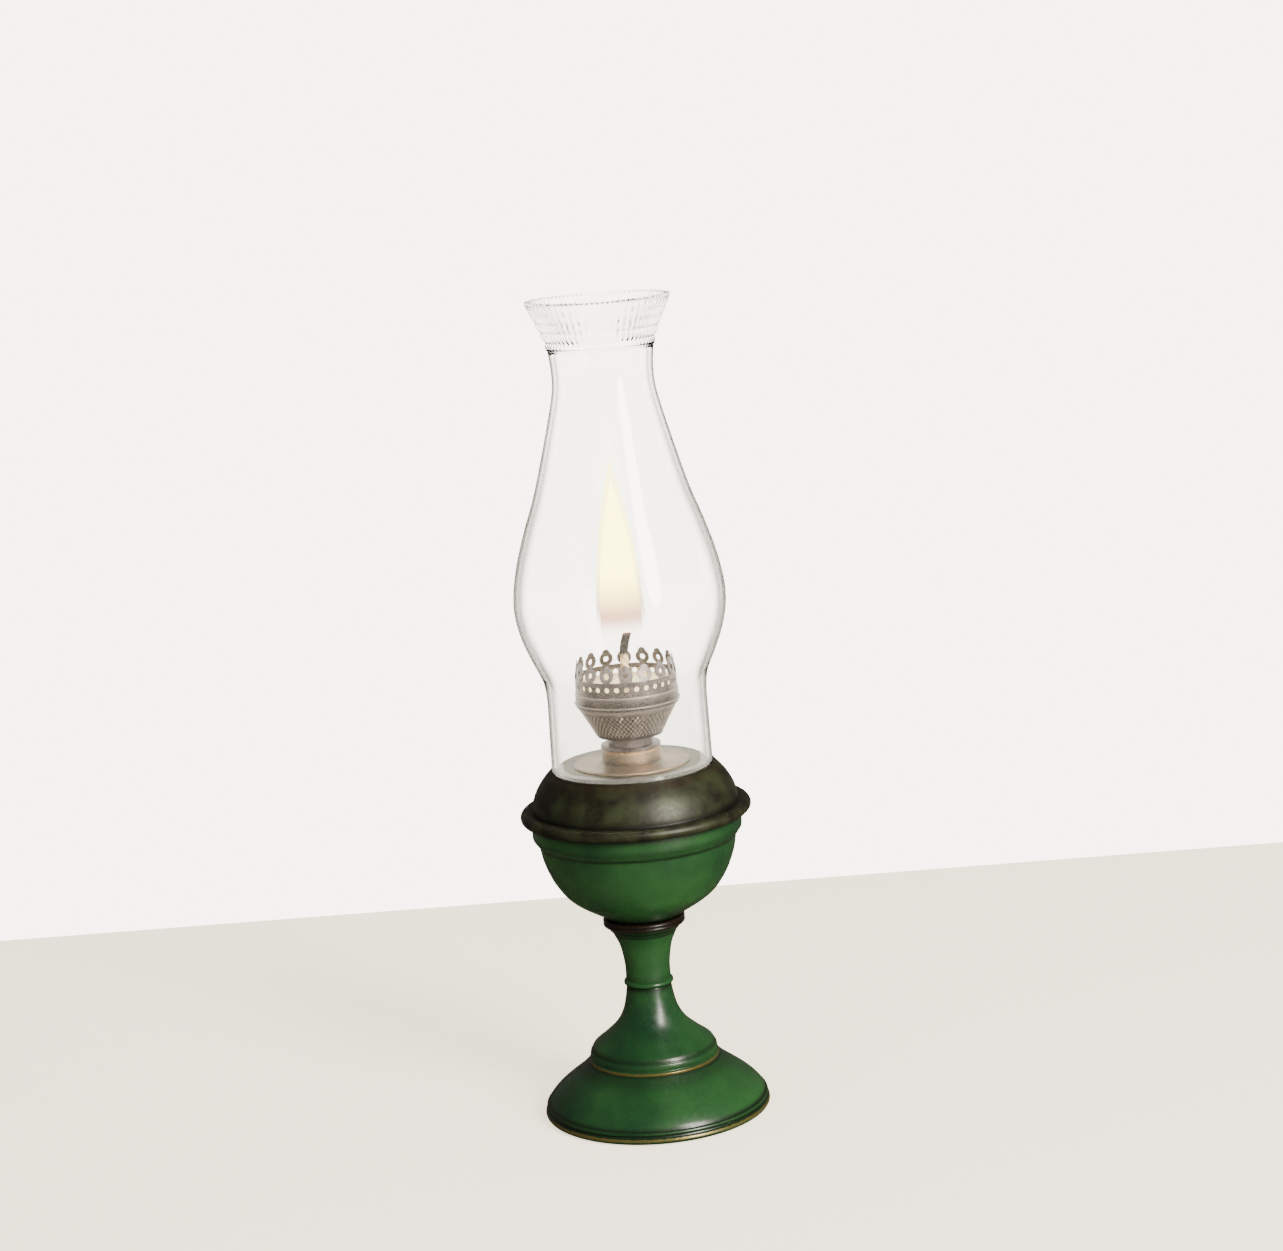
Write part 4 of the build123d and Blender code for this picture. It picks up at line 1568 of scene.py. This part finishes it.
@dataclass
class Chimney:
    """Blown glass chimney with a bulge, a narrow neck and a pressed, beaded mouth.

    Attributes:
        wall: Thickness of the glass.
        foot: Outer radius of its foot.
        waist: Top of the straight foot.
        swell: Outside from the waist to the bulge.
        bulge: Height of the widest place.
        taper: Outside from the bulge to the neck, the neck and the throat last.
        trumpet: Outside of the flared mouth.
        mouth: Radius of the mouth.
        throat_bead: Radius of the bead under the mouth.
        lip: Radius of the rounded lip.
        ribs: Ribs round the mouth.
        rib_depth: Their depth.
        flutes: Flutes down the mouth.
        flute_depth: Their depth.
        beads: Beads along the rim.
        bead_depth: Their depth.
        bead_reach: How far down they fade out.
        line: Height of the fine line above the bead.
        line_width: Half its width.
    """

    wall: float = 2.0
    foot: float = 38.1
    waist: Point = (37.6, 33.8)
    swell: Stroke = ((38.6, 43.8), (43.7, 55.7), (48.1, 68.1))
    bulge: float = 81.4
    taper: Stroke = ((47.4, 97.9), (42.2, 115.5), (35.7, 134.1), (26.0, 170.3), (23.6, 184.8), (24.6, 199.2))
    trumpet: Stroke = ((26.6, 206.1), (29.6, 212.6))
    mouth: float = 33.6
    throat_bead: float = 0.9
    lip: float = 1.1
    ribs: int = 5
    rib_depth: float = 0.6
    flutes: int = 60
    flute_depth: float = 0.42
    beads: int = 90
    bead_depth: float = 0.7
    bead_reach: float = 1.3
    line: float = 375.2
    line_width: float = 0.6

    def lining(self, stroke: Stroke) -> Stroke:
        """The inside of a stroke of the glass, run the other way."""
        return tuple((radius - self.wall, height) for radius, height in reversed(stroke))

    def form(self) -> bpy.types.Object:
        """Shape the plain glass.

        Returns:
            The glass before its mouth is pressed.
        """
        base, top, belly = base_of("chimney"), top_of("chimney"), reach_of("chimney")
        fillet, rim = self.wall / 2, top - base - self.lip
        throat = self.taper[-1]
        body = (self.waist, *self.swell, (belly, self.bulge), *self.taper)
        flare = ((throat[0] + 0.2, throat[1] + 0.8), *self.trumpet, (self.mouth, rim))
        inner_waist = (self.waist[0] - self.wall, self.waist[1])
        return Turned(
            "chimney_blown",
            base,
            (
                ((self.foot, fillet), self.waist),
                body,
                bead((throat[0] - self.throat_bead / 2, throat[1]), self.throat_bead, -60, 60),
                flare,
                bead((self.mouth - 1.0, rim), self.lip, 10, 170),
                self.lining(flare),
                self.lining(body),
                (inner_waist, (self.foot - self.wall, fillet)),
                bead((self.foot - fillet, fillet), fillet, 180, 360),
            ),
            sides=self.beads * 4,
            steps=(6.0, 4.0, 0.5, 0.8, 0.6, 0.8, 4.0, 6.0, 0.6),
            soften=0.0,
        ).form()

    def press(self, piece: bpy.types.Object) -> None:
        """Press ribs, flutes and rim beads into the flared mouth.

        Args:
            piece: The plain glass.
        """
        co = places(piece)
        base, top = base_of("chimney"), top_of("chimney")
        throat = base + self.taper[-1][1]
        share = np.clip((co[:, 2] - throat) / (top - throat), 0.0, 1.0)
        turn = np.arctan2(co[:, 1], co[:, 0])
        ring = np.sin(math.tau * self.ribs * share) * self.rib_depth * (share > 0) * (1 - share)
        flute = np.cos(self.flutes * turn) * self.flute_depth * np.sin(math.pi * share)
        rim = np.exp(-(((top - co[:, 2]) / self.bead_reach) ** 2))
        knob = (np.abs(np.cos(self.beads * turn / 2)) - 1.0) * self.bead_depth * rim
        line = self.rib_depth * np.exp(-(((co[:, 2] - self.line) / self.line_width) ** 2))
        radius = np.hypot(co[:, 0], co[:, 1])
        grown = (radius + ring + flute + knob + line) / radius
        co[:, 0] *= grown
        co[:, 1] *= grown
        co[:, 2] += knob
        piece.data.vertices.foreach_set("co", (co * MM).astype(np.float32).ravel())
        piece.data.update()

    def build(self) -> None:
        """Make the chimney."""
        piece = self.form()
        self.press(piece)
        fit(piece, "chimney", "chimney", Finish.GLASS)


# ---- studio --------------------------------------------------------------------------------------


@dataclass
class Studio:
    """Pale floor, bright surroundings, one soft key light and the camera. Lengths in metres.

    Attributes:
        lens: Focal length in millimetres.
        stand_off: How far in front of the axis the camera stands.
        eye: Its height.
        pitch: How far it looks down, in degrees.
        yaw: How far it looks to the right.
        roll: How far it is turned about its own axis.
        floor_size: Side of the floor.
        floor_back: Where the floor ends behind the lamp.
        backdrop: Brightness of the surroundings as seen.
        diffuse: Their brightness as light on matt surfaces.
        glossy: Their brightness in reflections.
        floor_glow: Brightness added to the floor as seen.
        aim: Height that the lights look at.
        key: Place of the key light.
        fill: Place of the fill light.
    """

    lens: float = 80.0
    stand_off: float = 1.3145
    eye: float = 0.480
    pitch: float = 10.5
    yaw: float = 0.404
    roll: float = -4.3
    floor_size: float = 4.0
    floor_back: float = 0.38
    backdrop: float = 7.0
    diffuse: float = 0.55
    glossy: float = 0.15
    floor_glow: float = 1.9
    aim: float = 0.25
    key: tuple[float, float, float] = (1.2, -1.5, 0.95)
    fill: tuple[float, float, float] = (-1.7, -1.1, 0.9)

    def camera(self) -> None:
        """Place the camera."""
        data = bpy.data.cameras.new("camera")
        data.lens = self.lens
        data.sensor_width = 36.0
        camera = bpy.data.objects.new("camera", data)
        bpy.context.scene.collection.objects.link(camera)
        aim = Matrix.Rotation(-math.radians(self.yaw), 4, "Z") @ Matrix.Rotation(
            math.radians(90 - self.pitch), 4, "X"
        )
        camera.matrix_world = (
            Matrix.Translation((0, -self.stand_off, self.eye))
            @ aim
            @ Matrix.Rotation(math.radians(self.roll), 4, "Z")
        )
        bpy.context.scene.camera = camera

    def floor(self) -> None:
        """Lay the pale floor."""
        bpy.ops.object.select_all(action="DESELECT")
        middle = (0, self.floor_back - self.floor_size / 2, 0)
        bpy.ops.mesh.primitive_plane_add(size=self.floor_size, location=middle)
        floor = bpy.context.active_object
        floor.name = "floor"
        bpy.ops.object.transform_apply(location=True, rotation=True, scale=True)
        s = Surface("pale_matt_floor")
        tone = s.add("ShaderNodeTexNoise", {"Vector": s.place, "Scale": 1.5, "Detail": 2.0})
        colour = s.add(
            "ShaderNodeMix",
            {0: tone.outputs["Fac"], 6: linear("#f1e7d3"), 7: linear("#f6eedd")},
            data_type="RGBA",
        )
        path = s.add("ShaderNodeLightPath").outputs
        direct = s.add(
            "ShaderNodeMath", {0: path["Is Camera Ray"], 1: path["Is Transmission Ray"]}, operation="MAXIMUM"
        )
        glow = s.add("ShaderNodeMath", {0: direct.outputs[0], 1: self.floor_glow}, operation="MULTIPLY")
        # painted shade in reflections: glossy rays see the floor dark grey instead of its pale colour
        seen = s.add(
            "ShaderNodeMix",
            {0: path["Is Glossy Ray"], 6: colour.outputs[2], 7: linear("#4a4740")},
            data_type="RGBA",
        )
        matt = s.add(
            "ShaderNodeBsdfPrincipled",
            {
                "Base Color": seen.outputs[2],
                "Roughness": 0.7,
                "Specular IOR Level": 0.1,
                "Emission Color": linear("#fff1d6"),
                "Emission Strength": glow.outputs[0],
            },
        )
        floor.data.materials.append(s.close(matt.outputs[0]))

    def lamp(self, name: str, place: Vector, size: Point, power: float, colour: str, mirrored: bool) -> None:
        """Stand one soft upright panel facing the lamp.

        Args:
            name: The light's name.
            place: Its middle.
            size: Its width and height.
            power: Its power in watts.
            colour: Its colour.
            mirrored: Whether it shows as a highlight on gloss.
        """
        data = bpy.data.lights.new(name, "AREA")
        data.shape = "ELLIPSE"
        data.size, data.size_y = size
        data.energy = power
        data.color = linear(colour)[:3]
        light = bpy.data.objects.new(name, data)
        bpy.context.scene.collection.objects.link(light)
        light.location = place
        light.visible_glossy = mirrored
        light.rotation_euler = (Vector((0, 0, self.aim)) - place).to_track_quat("-Z", "Y").to_euler()

    def surroundings(self) -> None:
        """Light the surroundings: bright behind and through the glass, dimmer on the metal."""
        world = bpy.data.worlds.new("studio")
        bpy.context.scene.world = world
        g = Graph(world)
        path = g.add("ShaderNodeLightPath").outputs
        seen = g.add(
            "ShaderNodeMath", {0: path["Is Camera Ray"], 1: path["Is Transmission Ray"]}, operation="MAXIMUM"
        )
        soft = g.add(
            "ShaderNodeMath",
            {0: path["Is Diffuse Ray"], 1: self.diffuse - self.glossy, 2: self.glossy},
            operation="MULTIPLY_ADD",
        )
        level = g.add(
            "ShaderNodeMath",
            {0: seen.outputs[0], 1: self.backdrop - self.glossy, 2: soft.outputs[0]},
            operation="MULTIPLY_ADD",
        )
        sky = g.add("ShaderNodeBackground", {"Color": linear("#fdf6e8"), "Strength": level.outputs[0]})
        g.add("ShaderNodeOutputWorld", {0: sky.outputs[0]})

    def build(self) -> None:
        """Set up the studio."""
        self.floor()
        self.surroundings()
        self.lamp("key", Vector(self.key), (0.6, 1.7), 120.0, "#fff8ee", True)
        self.lamp("fill", Vector(self.fill), (1.2, 1.2), 7.0, "#eef4ff", False)
        self.camera()


def main() -> None:
    """Build the lamp from the foot up, then the studio round it."""
    logging.basicConfig(level=logging.INFO, format="%(name)s: %(message)s")
    for part in (Foot(), Stem(), Bowl(), Font(), Burner(), Wick(), Flame(), Chimney()):
        log.info("building %s", type(part).__name__)
        part.build()
    Studio().build()


if __name__ == "__main__":
    main()
